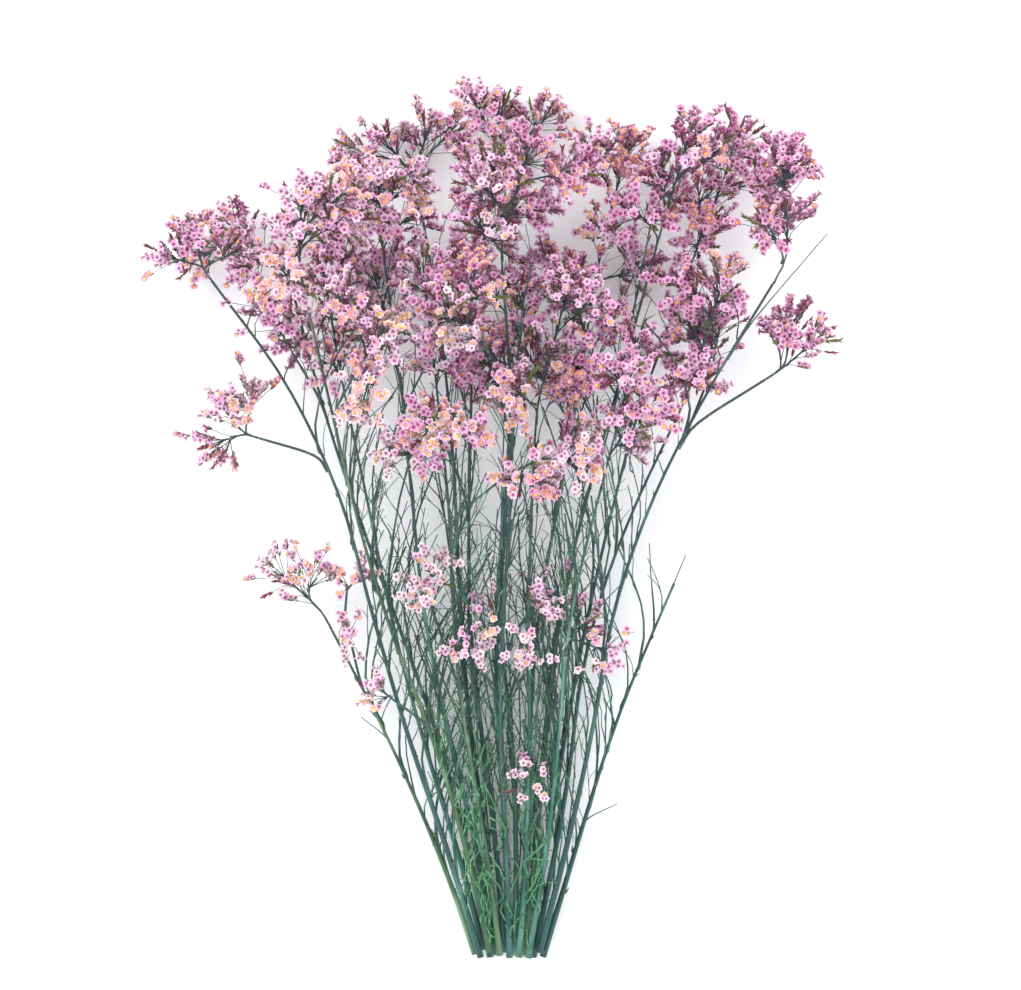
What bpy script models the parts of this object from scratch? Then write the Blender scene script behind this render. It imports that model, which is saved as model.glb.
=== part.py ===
"""A cut bunch of statice, lying down: twenty stems fan out from their cut ends to thirty-nine flower sprays.

Sizes are in millimetres, and MM turns them into Blender's metres. The cut ends point to -Y and the
flowers to +Y, +X is the picture's right, and the bunch lies on the plane z = 0.
"""

import math
import random

import bmesh
import bpy
import numpy as np
from mathutils import Matrix, Vector

MM = 0.001
SEED = 194

# The whole bunch
LENGTH = 700.0
ORIGIN_SHIFT = np.array([0.3, 2.8, -0.5])  # centres the bunch, and lets the table press its feet flat

# The fan of stems. At the foot the stems are packed in three rows like pencils.
STEM_PITCH = 7.5
ROWS = {"top": (7, 1.0), "middle": (8, 0.0), "bottom": (5, -1.0)}
ROW_HEIGHT = STEM_PITCH * math.sqrt(3) / 2
FOOT_HALF_WIDTH = 3.5 * STEM_PITCH
FOOT_CENTRE_X = 13.0
CENTRED_BY = 0.45  # the share of the length at which the fan's middle line reaches x = 0
TOP_HALF_WIDTH = 290.0
TOP_HALF_DEPTH = 82.0
FAN_POWER = 1.06
BED_AT_TOP = 26.0  # the lowest row's height over the table among the flowers
BED_RISEN_BY = 0.5  # the share of the length over which it rises to that height
WANDER_ACROSS = 0.05
WANDER_DEEP = 0.10
WANDER_FULL_BY = 0.35
WANDER_WAVES = (0.8, 1.3)
CUT_STAGGER = 7.0

# Shoots: each leaves along its parent and bends away, and thins towards its tip
EASE_IN = 1.5  # the power that crowds a bend towards the shoot's root
THINNING = 2.2
FOLLOWS_PARENT = 0.4  # the share of a shoot's reach that its parent's direction governs
FOOT_RADIUS = 3.55
STEM_TIP_RADIUS = 1.4
STEM_RINGS = 7
STEM_SAMPLES = 40
BRANCH_RADIUS = 1.7
TWIG_RADIUS = 1.5
SHOOT_TIP_RADIUS = 1.25
POINTED_ROOT = 0.3
BARE_TIP_RADIUS = 0.6

# One floret of the solid model: a five-lobed funnel, larger than life
LOBES = 5
FLORET_RADIUS = 13.6
FLORET_VALLEY = 0.60
FLORET_LENGTH = 27.0
FLORET_NECK_RADIUS = 1.2
FLORET_NECK = 6.0
FLORET_SUNK = 7.0
VALLEY_DROP = 2.5
ROOT_DEPTH = 2.0

# Balls that hold a floret, for the clearance: share of its length, and share of its rim's radius
FLORET_BALLS = ((0.3, 0.35), (0.6, 0.68), (0.9, 1.06))

# Heads and flower sprays
FULL_HEAD = 3
THIN_HEAD = 2
TWIG_REACH = (26.0, 54.0)
TWIG_ANGLE = (28.0, 58.0)
SIDE_FLORET_ANGLE = 58.0
SIDE_FLORET_STEP = 7.0
SIDE_FLORET_RISE = 0.4
SIDE_FLORET_SIZE = 0.94
SEAT_GAP = 0.35
COLLAR = 6.0
HEADS_FROM = 0.16
HEADS_OVER = 0.74
HEADS_STRAY = 0.2
ROLL_STRAY = 80.0
FORK_BACK = 1.1  # how far behind its head a twig forks off, as a share of the way across to it
FORK_SHARES = (0.2, 0.85)
GOLDEN_ANGLE = 137.5
FLAT_WITHIN = 0.05  # degrees
CLEARANCE = 1.3
BEAD_STEP = 3.0
NEAR = 28.0
TABLE_PRESS = 3.0  # how far a petal may reach below the table, where it is pressed flat
TALLEST = 226.0
WIDEST = 268.0

# The search for clear places
TRIES = 90
BEND_TRIES = 180
AXIS_TRIES = 360
CHOICES = 5
FULL_HEADS_FOR = 0.7  # the share of the tries before thinner heads, and heads past the outline, are allowed
STRAY_STEP = 0.3
AXIS_LEAN = (14.0, 48.0)  # how far an axis may lean, in degrees, at the first and the last try
AXIS_SHORTENED = 0.5

# The flowers' outline as seen from above, counter-clockwise from the far left
FLOWER_OUTLINE = [
    (-262, 202), (-199, 185), (-187, 140), (-150, 84), (-109, 70), (-84, 14), (-42, 4), (0, 0),
    (37, 26), (84, 38), (155, 34), (192, 90), (190, 147), (216, 210), (254, 258), (250, 296),
    (204, 326), (150, 322), (104, 334), (56, 328), (8, 306), (-34, 286), (-70, 268),
    (-102, 286), (-152, 280), (-186, 252), (-205, 238), (-262, 224),
]  # fmt: skip

# The share of the length where a stem's own wood ends and its tip spray begins
LONG_STEM_ENDS = (0.71, 0.80)
SHORT_STEM_ENDS = (0.52, 0.62)
SHORT_STEMS = ("top_2", "top_4", "top_5", "middle_1", "middle_4", "middle_6")
STEM_ENDS = {
    "middle_0": 0.372, "middle_7": 0.425, "top_0": 0.765, "top_6": 0.76, "bottom_1": 0.862,
    "bottom_2": 0.868,
}  # fmt: skip

# Stems that lean out of the fan: how far over each LEAN_OVER of the length, and the share where they begin
LEANS = {
    "top_0": (-0.20, 0.58), "top_1": (-0.04, 0.30), "top_5": (0.03, 0.30), "top_6": (0.09, 0.45),
    "middle_5": (0.02, 0.30), "middle_6": (0.08, 0.30), "bottom_0": (-0.05, 0.30),
    "bottom_4": (0.07, 0.30),
}  # fmt: skip
LEAN_OVER = 0.20

# Heads of the tip sprays that stand apart: across, along, and height over the stem's tip
TIP_HEADS = {
    "top_0": [(-232, 216, 4), (-250, 204, 12), (-206, 206, -6)],
    "bottom_1": [(-80, 290, 10), (-104, 288, 0), (-54, 298, 4), (-34, 304, 14)],
    "bottom_2": [(4, 316, 8), (-26, 302, 16), (38, 312, 2), (14, 288, -4)],
    "middle_0": [(-164, -48, 6), (-146, -52, 16)],
}

# Side sprays that stand apart: stem, share along it, seat, and heads as above, their height over the seat
LOOSE_SPRAYS = [
    ("top_0", 0.70, (-184, 62, 6), [(-206, 78, 8), (-190, 88, -4), (-212, 60, 2)]),
    ("top_6", 0.74, (214, 108, 4), [(250, 136, 8), (224, 138, 0), (234, 150, -14)]),
    ("middle_0", 0.90, (-116, -66, 14), [(-108, -52, 6)]),
    ("middle_0", 0.78, (-112, -100, 16), [(-114, -92, 8)]),
    ("top_2", 0.45, (-48, -72, 18), [(-42, -52, 12), (-58, -64, 22)]),
    ("top_3", 0.35, (-12, -112, 18), [(-20, -104, 10)]),
    ("top_3", 0.40, (14, -100, 20), [(2, -82, 8), (32, -76, 18), (22, -98, 30)]),
    ("top_5", 0.42, (60, -108, 20), [(58, -88, 10), (84, -104, 26), (52, -62, 6)]),
    ("top_4", 0.20, (40, -222, 20), [(36, -208, 10), (68, -206, 24)]),
    ("top_1", 0.33, (-76, -146, 18), [(-86, -138, 8)]),
]
BARE_STEM = "middle_7"

# Flowerless twigs at chosen points: stem, share along it, and where they end, as for the side sprays
BARE_TWIGS = [
    ("middle_7", 0.93, (152, -30, 10)),
    ("middle_7", 0.84, (124, -40, 16)),
    ("top_6", 0.88, (262, 222, 16)),
]
OUTER_HEAD_SIZE = 0.9
LOOSE_HEAD_SIZE = 0.82
MASS_SPRAYS = 10
TIP_SPRAY_REACH = (108.0, 134.0)
SIDE_SPRAY_REACH = (74.0, 100.0)
SIDE_BRANCH_REACH = (44.0, 66.0)
SIDE_BRANCH_ANGLE = (26.0, 42.0)
SIDE_BRANCH_LAST = 0.86
SIDE_BRANCH_LOWEST = 22.0
TIP_SPRAY_HEADS = 4
SIDE_SPRAY_HEADS = 3
BARE_TWIG_SHARES = (0.30, 0.75)
BARE_TWIG_ANGLE = (24.0, 50.0)
BARE_TWIG_REACH = (24.0, 48.0)
BARE_TWIG_LOWEST = 3.0


def unit(vector):
    return vector / np.linalg.norm(vector)


def stem_names():
    return [f"{row}_{place}" for row, (count, _) in ROWS.items() for place in range(count)]


def fan_place(stem):
    """A stem's place in the fan: across from -1 to 1, and its row's depth."""
    row, place = stem.split("_")
    count, deep = ROWS[row]
    across = (int(place) - (count - 1) / 2) * STEM_PITCH / FOOT_HALF_WIDTH
    return across, deep


def fan_point(across, deep, share):
    """The point at a share of the length on the fan's line through a place of the packed foot."""
    spread = max(share, 0.0) ** FAN_POWER
    half_width = FOOT_HALF_WIDTH + (TOP_HALF_WIDTH - FOOT_HALF_WIDTH) * spread
    half_depth = ROW_HEIGHT + (TOP_HALF_DEPTH - ROW_HEIGHT) * spread
    settle = min(share / CENTRED_BY, 1.0)
    centre = FOOT_CENTRE_X * (1 - settle * settle * (3 - 2 * settle))
    rise = min(max(share, 0.0) / BED_RISEN_BY, 1.0)
    lowest = FOOT_RADIUS * math.sqrt(3) / 2
    bed = lowest + (BED_AT_TOP - lowest) * rise * rise * (3 - 2 * rise)
    return np.array([
        centre + across * half_width,
        LENGTH * (share - 0.5),
        bed + half_depth * (1 + deep),
    ])


def inside_outline(x, y):
    inside = False
    for (x0, y0), (x1, y1) in zip(FLOWER_OUTLINE, FLOWER_OUTLINE[1:] + FLOWER_OUTLINE[:1]):
        if (y0 > y) != (y1 > y) and x < x0 + (x1 - x0) * (y - y0) / (y1 - y0):
            inside = not inside
    return inside


def resample(path, count):
    """The same path in evenly spaced points."""
    path = np.array(path)
    steps = np.linalg.norm(np.diff(path, axis=0), axis=1)
    done = np.concatenate([[0.0], np.cumsum(steps)])
    wanted = np.linspace(0.0, done[-1], count)
    return list(np.stack([np.interp(wanted, done, path[:, k]) for k in range(3)], axis=1))


def along(path, share):
    """The point and direction at a share of a path's length."""
    steps = [np.linalg.norm(b - a) for a, b in zip(path, path[1:])]
    left = share * sum(steps)
    for (a, b), step in zip(zip(path, path[1:]), steps):
        if left <= step or b is path[-1]:
            return a + (b - a) * (left / step), unit(b - a)
        left -= step


def arc(start, heading, end, count):
    """A shoot's path that leaves start along heading and bends over to end, soonest near its root."""
    middle = start + unit(heading) * np.linalg.norm(end - start) * FOLLOWS_PARENT
    shares = np.linspace(0.0, 1.0, count) ** EASE_IN
    return [start * (1 - s) ** 2 + middle * 2 * s * (1 - s) + end * s * s for s in shares]


def side_vectors(heading):
    """Two unit vectors square to a heading."""
    flat = unit(np.cross(heading, [0.0, 0.0, 1.0]))
    return flat, np.cross(flat, heading)


def turned(heading, angle, roll):
    """A heading tilted by an angle towards a roll round it, both in degrees."""
    flat, up = side_vectors(heading)
    aside = flat * math.cos(math.radians(roll)) + up * math.sin(math.radians(roll))
    return unit(heading * math.cos(math.radians(angle)) + aside * math.sin(math.radians(angle)))


def shoot_beads(path, thick, thin):
    """Balls along a shoot, as rows of x, y, z and radius."""
    length = np.linalg.norm(np.diff(path, axis=0), axis=1).sum()
    count = max(2, int(length / BEAD_STEP) + 1)
    radii = taper(thick, thin, np.linspace(0.0, 1.0, count))
    return [[*point, radius] for point, radius in zip(resample(path, count), radii)]


def taper(thick, thin, share):
    """The radius at a share of a shoot, which thins soonest near its root."""
    return thin + (thick - thin) * (1 - share) ** THINNING


def floret_beads(root, heading, size):
    """Balls that hold one floret."""
    return [
        [*(root + heading * FLORET_LENGTH * size * share), FLORET_RADIUS * size * wide]
        for share, wide in FLORET_BALLS
    ]


class Room:
    """Balls along all that has grown, so that a new shoot can be bent clear of its neighbours."""

    def __init__(self):
        self.beads = np.zeros((0, 4))
        self.owners = np.zeros(0, int)
        self.rims = []

    def clear(self, beads, owner):
        beads = np.array(beads)
        low, high = beads[:, :3].min(axis=0) - NEAR, beads[:, :3].max(axis=0) + NEAR
        close = ((self.beads[:, :3] > low) & (self.beads[:, :3] < high)).all(axis=1)
        near = self.beads[close & (self.owners != owner)]
        if not len(near):
            return True
        apart = np.linalg.norm(beads[:, None, :3] - near[None, :, :3], axis=2)
        return (apart - beads[:, None, 3] - near[None, :, 3]).min() > CLEARANCE

    def emptiness(self, florets):
        """How far the florets' rims are, seen from above, from the nearest ones in place."""
        if not self.rims:
            return 0.0
        rims = np.array([(root + heading * FLORET_LENGTH * size)[:2] for root, heading, size in florets])
        apart = np.linalg.norm(rims[:, None] - np.array(self.rims)[None], axis=2)
        return np.sort(apart, axis=1)[:, :3].mean()

    def add(self, beads, owner):
        self.beads = np.vstack([self.beads, beads])
        self.owners = np.concatenate([self.owners, np.full(len(beads), owner)])


class Bunch:
    """The skeleton of the bunch: each node's shoots, and the florets with their headings."""

    def __init__(self):
        self.draw = random.Random(SEED)
        self.room = Room()
        self.shoots = {}
        self.florets = {}
        self.numbers = {}
        self.axes = []
        self.grow_stems()
        self.grow_outer_sprays()
        self.grow_loose_sprays()
        self.grow_tip_sprays()
        self.grow_mass_sprays()
        self.grow_heads()
        self.grow_bare_twigs()

    def open_node(self, name):
        self.numbers[name] = len(self.numbers)
        self.shoots[name] = []
        self.florets[name] = []

    def add_shoot(self, node, path, thick, thin, sides):
        pointed = sides == 3 and len(self.shoots[node]) > 0
        self.shoots[node].append((path, thick, thin, sides, pointed))
        self.room.add(shoot_beads(path, thick, thin), self.numbers[node])

    def stem_end(self, stem):
        """The share of the length where a stem's own wood ends and its tip spray begins."""
        if stem in STEM_ENDS:
            return STEM_ENDS[stem]
        return self.draw.uniform(*(SHORT_STEM_ENDS if stem in SHORT_STEMS else LONG_STEM_ENDS))

    def grow_stems(self):
        for stem in stem_names():
            node = f"stem_{stem}"
            self.open_node(node)
            across, deep = fan_place(stem)
            end = self.stem_end(stem)
            phase = self.draw.uniform(0, math.tau)
            wave = self.draw.uniform(*WANDER_WAVES)
            start = self.draw.uniform(0, CUT_STAGGER) / LENGTH
            lean, lean_from = LEANS.get(stem, (0.0, 0.0))
            fine = []
            for share in np.linspace(start, end, STEM_SAMPLES):
                ramp = min(share / WANDER_FULL_BY, 1.0) ** EASE_IN
                bow = math.sin(math.tau * wave * share + phase) - math.sin(phase)
                sway = math.cos(math.tau * wave * share + phase) - math.cos(phase)
                outwards = lean * max(0.0, share - lean_from) / LEAN_OVER
                u = across + outwards + WANDER_ACROSS * ramp * bow
                w = deep + WANDER_DEEP * ramp * sway
                fine.append(fan_point(u, max(w, -1.0), share))
            self.add_shoot(node, resample(fine, STEM_RINGS), FOOT_RADIUS, STEM_TIP_RADIUS, 6)

    def head_florets(self, hub_path, size, full, roll):
        """The florets round the end of a twig: one at its tip and the others just under it."""
        tip, heading = hub_path[-1], unit(hub_path[-1] - hub_path[-2])
        rows = [(tip - heading * ROOT_DEPTH, heading, size)]
        for number in range(1, full):
            root = tip - heading * (ROOT_DEPTH + SIDE_FLORET_STEP * (number - SIDE_FLORET_RISE))
            aside = turned(heading, SIDE_FLORET_ANGLE, roll + 180 * number)
            rows.append((root, aside, size * SIDE_FLORET_SIZE))
        return rows

    def fits(self, node, twig, florets, in_outline):
        """Whether a twig with its florets is clear of the table, the bunch's limits and its neighbours."""
        beads = shoot_beads(twig, TWIG_RADIUS, SHOOT_TIP_RADIUS)
        for root, heading, size in florets:
            beads += floret_beads(root, heading, size)
            rim = root + heading * FLORET_LENGTH * size
            low = FLORET_RADIUS * size * math.sqrt(max(0.0, 1 - heading[2] ** 2)) - TABLE_PRESS
            if rim[2] < low or rim[2] > TALLEST or abs(rim[0]) > WIDEST:
                return False
            if in_outline and not inside_outline(rim[0], rim[1]):
                return False
        if min(bead[2] - min(bead[3], ROOT_DEPTH) for bead in beads) < 0:
            return False
        return self.room.clear(beads, self.numbers[node])

    def grow_fixed_spray(self, carrier, heads, base_height, size):
        """A spray with its heads near hand-placed points; the first one ends its axis."""
        name = f"flower_spray_{len(self.sprays()) + 1:02d}"
        self.open_node(name)
        places = [np.array([x, y, base_height + z], float) for x, y, z in heads]
        heading = unit(carrier[-1] - carrier[-2])
        seat = carrier[-1] + heading * SEAT_GAP
        collar = seat + heading * COLLAR
        twig, florets = self.bend_clear(name, collar, heading, places[0], size)
        axis = [seat, *twig]
        self.add_shoot(name, axis, TWIG_RADIUS, SHOOT_TIP_RADIUS, 3)
        self.add_florets(name, florets)
        reach = np.linalg.norm(axis[-1] - axis[0])
        line = unit(axis[-1] - axis[0])
        for place in places[1:]:
            ahead = (place - axis[0]) @ line
            beside = np.linalg.norm(place - axis[0] - ahead * line)
            share = min(max((ahead - FORK_BACK * beside) / reach, FORK_SHARES[0]), FORK_SHARES[1])
            start, onward = along(axis, share)
            found = self.bend_clear(name, start, onward, place, size)
            if found:
                self.add_shoot(name, found[0], TWIG_RADIUS, SHOOT_TIP_RADIUS, 3)
                self.add_florets(name, found[1])

    def bend_clear(self, node, start, heading, place, size):
        """A twig to a clear place as near as can be to the one asked for, with its florets."""
        for attempt in range(BEND_TRIES):
            stray = STRAY_STEP * attempt
            shift = np.array([self.draw.uniform(-1, 1) for _ in range(3)]) * stray
            twig = arc(start, heading, place + shift, 3)
            florets = self.head_florets(twig, size, THIN_HEAD, self.draw.uniform(0, 360))
            if self.fits(node, twig, florets, False):
                return twig, florets
        return None

    def sprays(self):
        return [name for name in self.numbers if name.startswith("flower")]

    def add_florets(self, node, florets):
        self.florets[node] += florets
        for root, heading, size in florets:
            self.room.add(floret_beads(root, heading, size), self.numbers[node])
            self.room.rims.append((root + heading * FLORET_LENGTH * size)[:2])

    def grow_loose_sprays(self):
        for stem, share, seat, heads in LOOSE_SPRAYS:
            node = f"stem_{stem}"
            path = self.shoots[node][0][0]
            start, heading = along(path, share)
            end = np.array([seat[0], seat[1], start[2] + seat[2]], float)
            branch = arc(start, heading, end, 3)
            self.add_shoot(node, branch, BRANCH_RADIUS, TWIG_RADIUS, 3)
            self.grow_fixed_spray(branch, heads, end[2], LOOSE_HEAD_SIZE)

    def grow_heads(self):
        """Heads round the free sprays' axes, one on each spray in turn, so that all get their share."""
        most = max(heads for _, _, heads, _ in self.axes)
        for number in range(most):
            for node, axis, heads, roll in self.axes:
                if number < heads:
                    stray = self.draw.uniform(-HEADS_STRAY, HEADS_STRAY)
                    share = HEADS_FROM + HEADS_OVER * (number + stray) / heads
                    self.grow_head(node, axis, share, roll + GOLDEN_ANGLE * number)

    def grow_head(self, node, axis, share, roll):
        """A head on a twig, in the emptiest of the clear places that the draw finds."""
        start, heading = along(axis, share)
        best = None
        found = 0
        for attempt in range(TRIES):
            full = FULL_HEAD if attempt < TRIES * FULL_HEADS_FOR else THIN_HEAD
            reach = self.draw.uniform(*TWIG_REACH)
            angle = self.draw.uniform(*TWIG_ANGLE)
            aside = turned(heading, angle, roll + self.draw.uniform(-ROLL_STRAY, ROLL_STRAY))
            twig = arc(start, heading, start + aside * reach, 3)
            florets = self.head_florets(twig, 1.0, full, self.draw.uniform(0, 360))
            if not self.fits(node, twig, florets, True):
                continue
            found += 1
            empty = self.room.emptiness(florets)
            if best is None or empty > best[0]:
                best = (empty, twig, florets)
            if found == CHOICES:
                break
        if best:
            self.add_shoot(node, best[1], TWIG_RADIUS, SHOOT_TIP_RADIUS, 3)
            self.add_florets(node, best[2])

    def grow_free_spray(self, carrier, reach_range, heads):
        """A spray on the end of a carrier, its axis tried in ever wider and shorter ways."""
        heading = unit(carrier[-1] - carrier[-2])
        seat = carrier[-1] + heading * SEAT_GAP
        collar = seat + heading * COLLAR
        name = f"flower_spray_{len(self.sprays()) + 1:02d}"
        self.numbers[name] = len(self.numbers)
        best = None
        found = 0
        for attempt in range(AXIS_TRIES):
            ease = attempt / AXIS_TRIES
            reach = self.draw.uniform(*reach_range) * (1 - AXIS_SHORTENED * ease)
            lean = AXIS_LEAN[0] + (AXIS_LEAN[1] - AXIS_LEAN[0]) * ease
            aside = turned(heading, self.draw.uniform(0, lean), self.draw.uniform(0, 360))
            axis = [seat, *arc(collar, heading, carrier[-1] + aside * reach, 3)]
            florets = self.head_florets(axis, 1.0, FULL_HEAD, self.draw.uniform(0, 360))
            if not self.fits(name, axis[1:], florets, ease < FULL_HEADS_FOR):
                continue
            found += 1
            empty = self.room.emptiness(florets)
            if best is None or empty > best[0]:
                best = (empty, axis, florets)
            if found == CHOICES:
                break
        del self.numbers[name]
        if best is None:
            return False
        self.open_node(name)
        self.add_shoot(name, best[1], TWIG_RADIUS, SHOOT_TIP_RADIUS, 3)
        self.add_florets(name, best[2])
        self.axes.append((name, best[1], heads - 1, self.draw.uniform(0, 360)))
        return True

    def grow_outer_sprays(self):
        for stem, heads in TIP_HEADS.items():
            path = self.shoots[f"stem_{stem}"][0][0]
            self.grow_fixed_spray(path, heads, path[-1][2], OUTER_HEAD_SIZE)

    def grow_tip_sprays(self):
        for stem in stem_names():
            path = self.shoots[f"stem_{stem}"][0][0]
            if stem not in TIP_HEADS and stem != BARE_STEM:
                self.grow_free_spray(path, TIP_SPRAY_REACH, TIP_SPRAY_HEADS)

    def grow_mass_sprays(self):
        """Side sprays that fill the flower mass, on the stems with the longest bare stretch in it."""
        room_left = []
        for stem in stem_names():
            path = self.shoots[f"stem_{stem}"][0][0]
            shares = [s for s in np.linspace(0.4, 1.0, 61) if inside_outline(*along(path, s)[0][:2])]
            if shares and stem not in TIP_HEADS:
                room_left.append((shares[-1] - shares[0], stem, shares[0]))
        for _, stem, first in sorted(room_left, reverse=True)[:MASS_SPRAYS]:
            node = f"stem_{stem}"
            path = self.shoots[node][0][0]
            for _ in range(BEND_TRIES):
                share = self.draw.uniform(first - 0.05, SIDE_BRANCH_LAST)
                start, heading = along(path, share)
                aside = turned(heading, self.draw.uniform(*SIDE_BRANCH_ANGLE), self.draw.uniform(0, 360))
                end = start + aside * self.draw.uniform(*SIDE_BRANCH_REACH)
                branch = arc(start, heading, end, 4)
                beads = shoot_beads(branch, BRANCH_RADIUS, TWIG_RADIUS)
                if end[2] > SIDE_BRANCH_LOWEST and self.room.clear(beads, self.numbers[node]):
                    if self.grow_free_spray(branch, SIDE_SPRAY_REACH, SIDE_SPRAY_HEADS):
                        self.add_shoot(node, branch, BRANCH_RADIUS, TWIG_RADIUS, 3)
                        break

    def grow_bare_twigs(self):
        """Short flowerless twigs: a few at hand-placed points, and one low on each stem."""
        for stem, share, end in BARE_TWIGS:
            start, heading = along(self.shoots[f"stem_{stem}"][0][0], share)
            self.add_bare_twig(stem, start, heading, np.array([end[0], end[1], start[2] + end[2]], float))
        for stem in stem_names():
            path = self.shoots[f"stem_{stem}"][0][0]
            for _ in range(TRIES):
                start, heading = along(path, self.draw.uniform(*BARE_TWIG_SHARES))
                aside = turned(heading, self.draw.uniform(*BARE_TWIG_ANGLE), self.draw.uniform(0, 360))
                end = start + aside * self.draw.uniform(*BARE_TWIG_REACH)
                if self.add_bare_twig(stem, start, heading, end):
                    break

    def add_bare_twig(self, stem, start, heading, end):
        node = f"stem_{stem}"
        twig = arc(start, heading, end, 3)
        beads = shoot_beads(twig, TWIG_RADIUS, BARE_TIP_RADIUS)
        if end[2] < BARE_TWIG_LOWEST or not self.room.clear(beads, self.numbers[node]):
            return False
        self.add_shoot(node, twig, TWIG_RADIUS, BARE_TIP_RADIUS, 3)
        return True


def material(name, colour, roughness):
    made = bpy.data.materials.new(name)
    made.use_nodes = True
    shader = made.node_tree.nodes["Principled BSDF"]
    shader.inputs["Base Color"].default_value = (*colour, 1.0)
    shader.inputs["Roughness"].default_value = roughness
    shader.inputs["Metallic"].default_value = 0.0
    return made


def place(point):
    return Vector((point + ORIGIN_SHIFT) * MM)


def section_guide():
    """A three-sided section of radius one for the thin shoots."""
    curve = bpy.data.curves.new("twig_section", "CURVE")
    curve.dimensions = "2D"
    line = curve.splines.new("POLY")
    line.points.add(2)
    for number, point in enumerate(line.points):
        turn = math.tau * number / 3
        point.co = (math.cos(turn), math.sin(turn), 0.0, 1.0)
    line.use_cyclic_u = True
    guide = bpy.data.objects.new("twig_section", curve)
    bpy.context.scene.collection.objects.link(guide)
    guide.hide_render = True
    guide.display_type = "WIRE"
    return guide


def tube(name, shoot, guide, collection):
    """A shoot as a tapered curve with filled caps."""
    path, thick, thin, sides, pointed = shoot
    curve = bpy.data.curves.new(name, "CURVE")
    curve.dimensions = "3D"
    curve.use_fill_caps = True
    if sides == 3:
        curve.bevel_mode = "OBJECT"
        curve.bevel_object = guide
        scale = 1.0
    else:
        curve.bevel_depth = MM
        curve.bevel_resolution = sides // 2 - 2
        curve.twist_mode = "Z_UP"
        scale = 1.0 / MM
    line = curve.splines.new("POLY")
    line.points.add(len(path) - 1)
    for number, point in enumerate(line.points):
        radius = taper(thick, thin, number / (len(path) - 1))
        if pointed and number == 0:
            radius = POINTED_ROOT
        point.co = (*place(path[number]), 1.0)
        point.radius = radius * MM * scale
    tube_object = bpy.data.objects.new(name, curve)
    collection.objects.link(tube_object)
    return tube_object


def floret_mesh():
    """A five-lobed funnel with its root at the origin, opening towards +Z."""
    bm = bmesh.new()
    cup = FLORET_LENGTH - FLORET_NECK
    middle = (FLORET_NECK + cup / 2) * MM
    bmesh.ops.create_cone(
        bm, cap_ends=True, cap_tris=False, segments=2 * LOBES, radius1=FLORET_NECK_RADIUS * MM,
        radius2=FLORET_RADIUS * MM, depth=cup * MM, matrix=Matrix.Translation((0, 0, middle)),
    )  # fmt: skip
    rim = sorted((v for v in bm.verts if v.co.z > middle), key=lambda v: math.atan2(v.co.y, v.co.x))
    for vert in rim[1::2]:
        vert.co.x *= FLORET_VALLEY
        vert.co.y *= FLORET_VALLEY
        vert.co.z -= VALLEY_DROP * MM
    neck = sorted((v for v in bm.verts if v.co.z < middle), key=lambda v: math.atan2(v.co.y, v.co.x))
    for group in (neck[:4], neck[4:7], neck[7:]):
        centre = sum((v.co for v in group), Vector()) / len(group)
        bmesh.ops.pointmerge(bm, verts=group, merge_co=centre)
    foot = min(bm.faces, key=lambda f: f.calc_center_median().z)
    root = bmesh.ops.poke(bm, faces=[foot])["verts"][0]
    root.co = (0.0, 0.0, 0.0)
    mouth = max(bm.faces, key=lambda f: f.calc_center_median().z)
    centre = bmesh.ops.poke(bm, faces=[mouth])["verts"][0]
    centre.co = (0.0, 0.0, (FLORET_LENGTH - FLORET_SUNK) * MM)
    bmesh.ops.triangulate(bm, faces=bm.faces[:])
    bmesh.ops.recalc_face_normals(bm, faces=bm.faces[:])
    mesh = bpy.data.meshes.new("floret")
    bm.to_mesh(mesh)
    bm.free()
    return mesh


def floret(name, mesh, root, heading, size, roll, collection):
    made = bpy.data.objects.new(name, mesh)
    turn = Vector(heading).to_track_quat("Z", "Y").to_matrix().to_4x4()
    made.matrix_world = (
        Matrix.Translation(place(root)) @ turn @ Matrix.Rotation(roll, 4, "Z") @ Matrix.Scale(size, 4)
    )
    collection.objects.link(made)
    return made


def as_mesh(tube_object, collection):
    """A curve object as a closed mesh object, its caps welded."""
    depsgraph = bpy.context.evaluated_depsgraph_get()
    mesh = bpy.data.meshes.new_from_object(tube_object.evaluated_get(depsgraph))
    bm = bmesh.new()
    bm.from_mesh(mesh)
    bmesh.ops.remove_doubles(bm, verts=bm.verts[:], dist=0.001 * MM)
    bmesh.ops.recalc_face_normals(bm, faces=bm.faces[:])
    bm.to_mesh(mesh)
    bm.free()
    made = bpy.data.objects.new(tube_object.name + "_solid", mesh)
    made.matrix_world = tube_object.matrix_world
    collection.objects.link(made)
    return made


def table_cutter():
    """The space below the table, which presses the lowest petals flat."""
    side = 2 * LENGTH * MM
    bpy.ops.mesh.primitive_cube_add(size=side, location=(0, 0, -side / 2))
    cutter = bpy.context.object
    cutter.name = "table_cutter"
    cutter.hide_render = True
    cutter.display_type = "WIRE"
    return cutter


def keep_largest_body(mesh):
    """Drops loose scraps and the walls of sealed hollows from a joined mesh."""
    bm = bmesh.new()
    bm.from_mesh(mesh)
    unseen = set(bm.verts)
    bodies = []
    while unseen:
        body, edge_of_search = set(), [unseen.pop()]
        while edge_of_search:
            vert = edge_of_search.pop()
            body.add(vert)
            for edge in vert.link_edges:
                other = edge.other_vert(vert)
                if other in unseen:
                    unseen.remove(other)
                    edge_of_search.append(other)
        bodies.append(body)
    bodies.sort(key=len, reverse=True)
    for body in bodies[1:]:
        bmesh.ops.delete(bm, geom=list(body), context="VERTS")
    bmesh.ops.dissolve_limit(
        bm, angle_limit=math.radians(FLAT_WITHIN), verts=bm.verts[:], edges=bm.edges[:]
    )
    bmesh.ops.triangulate(bm, faces=bm.faces[:])
    bm.to_mesh(mesh)
    bm.free()


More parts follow.
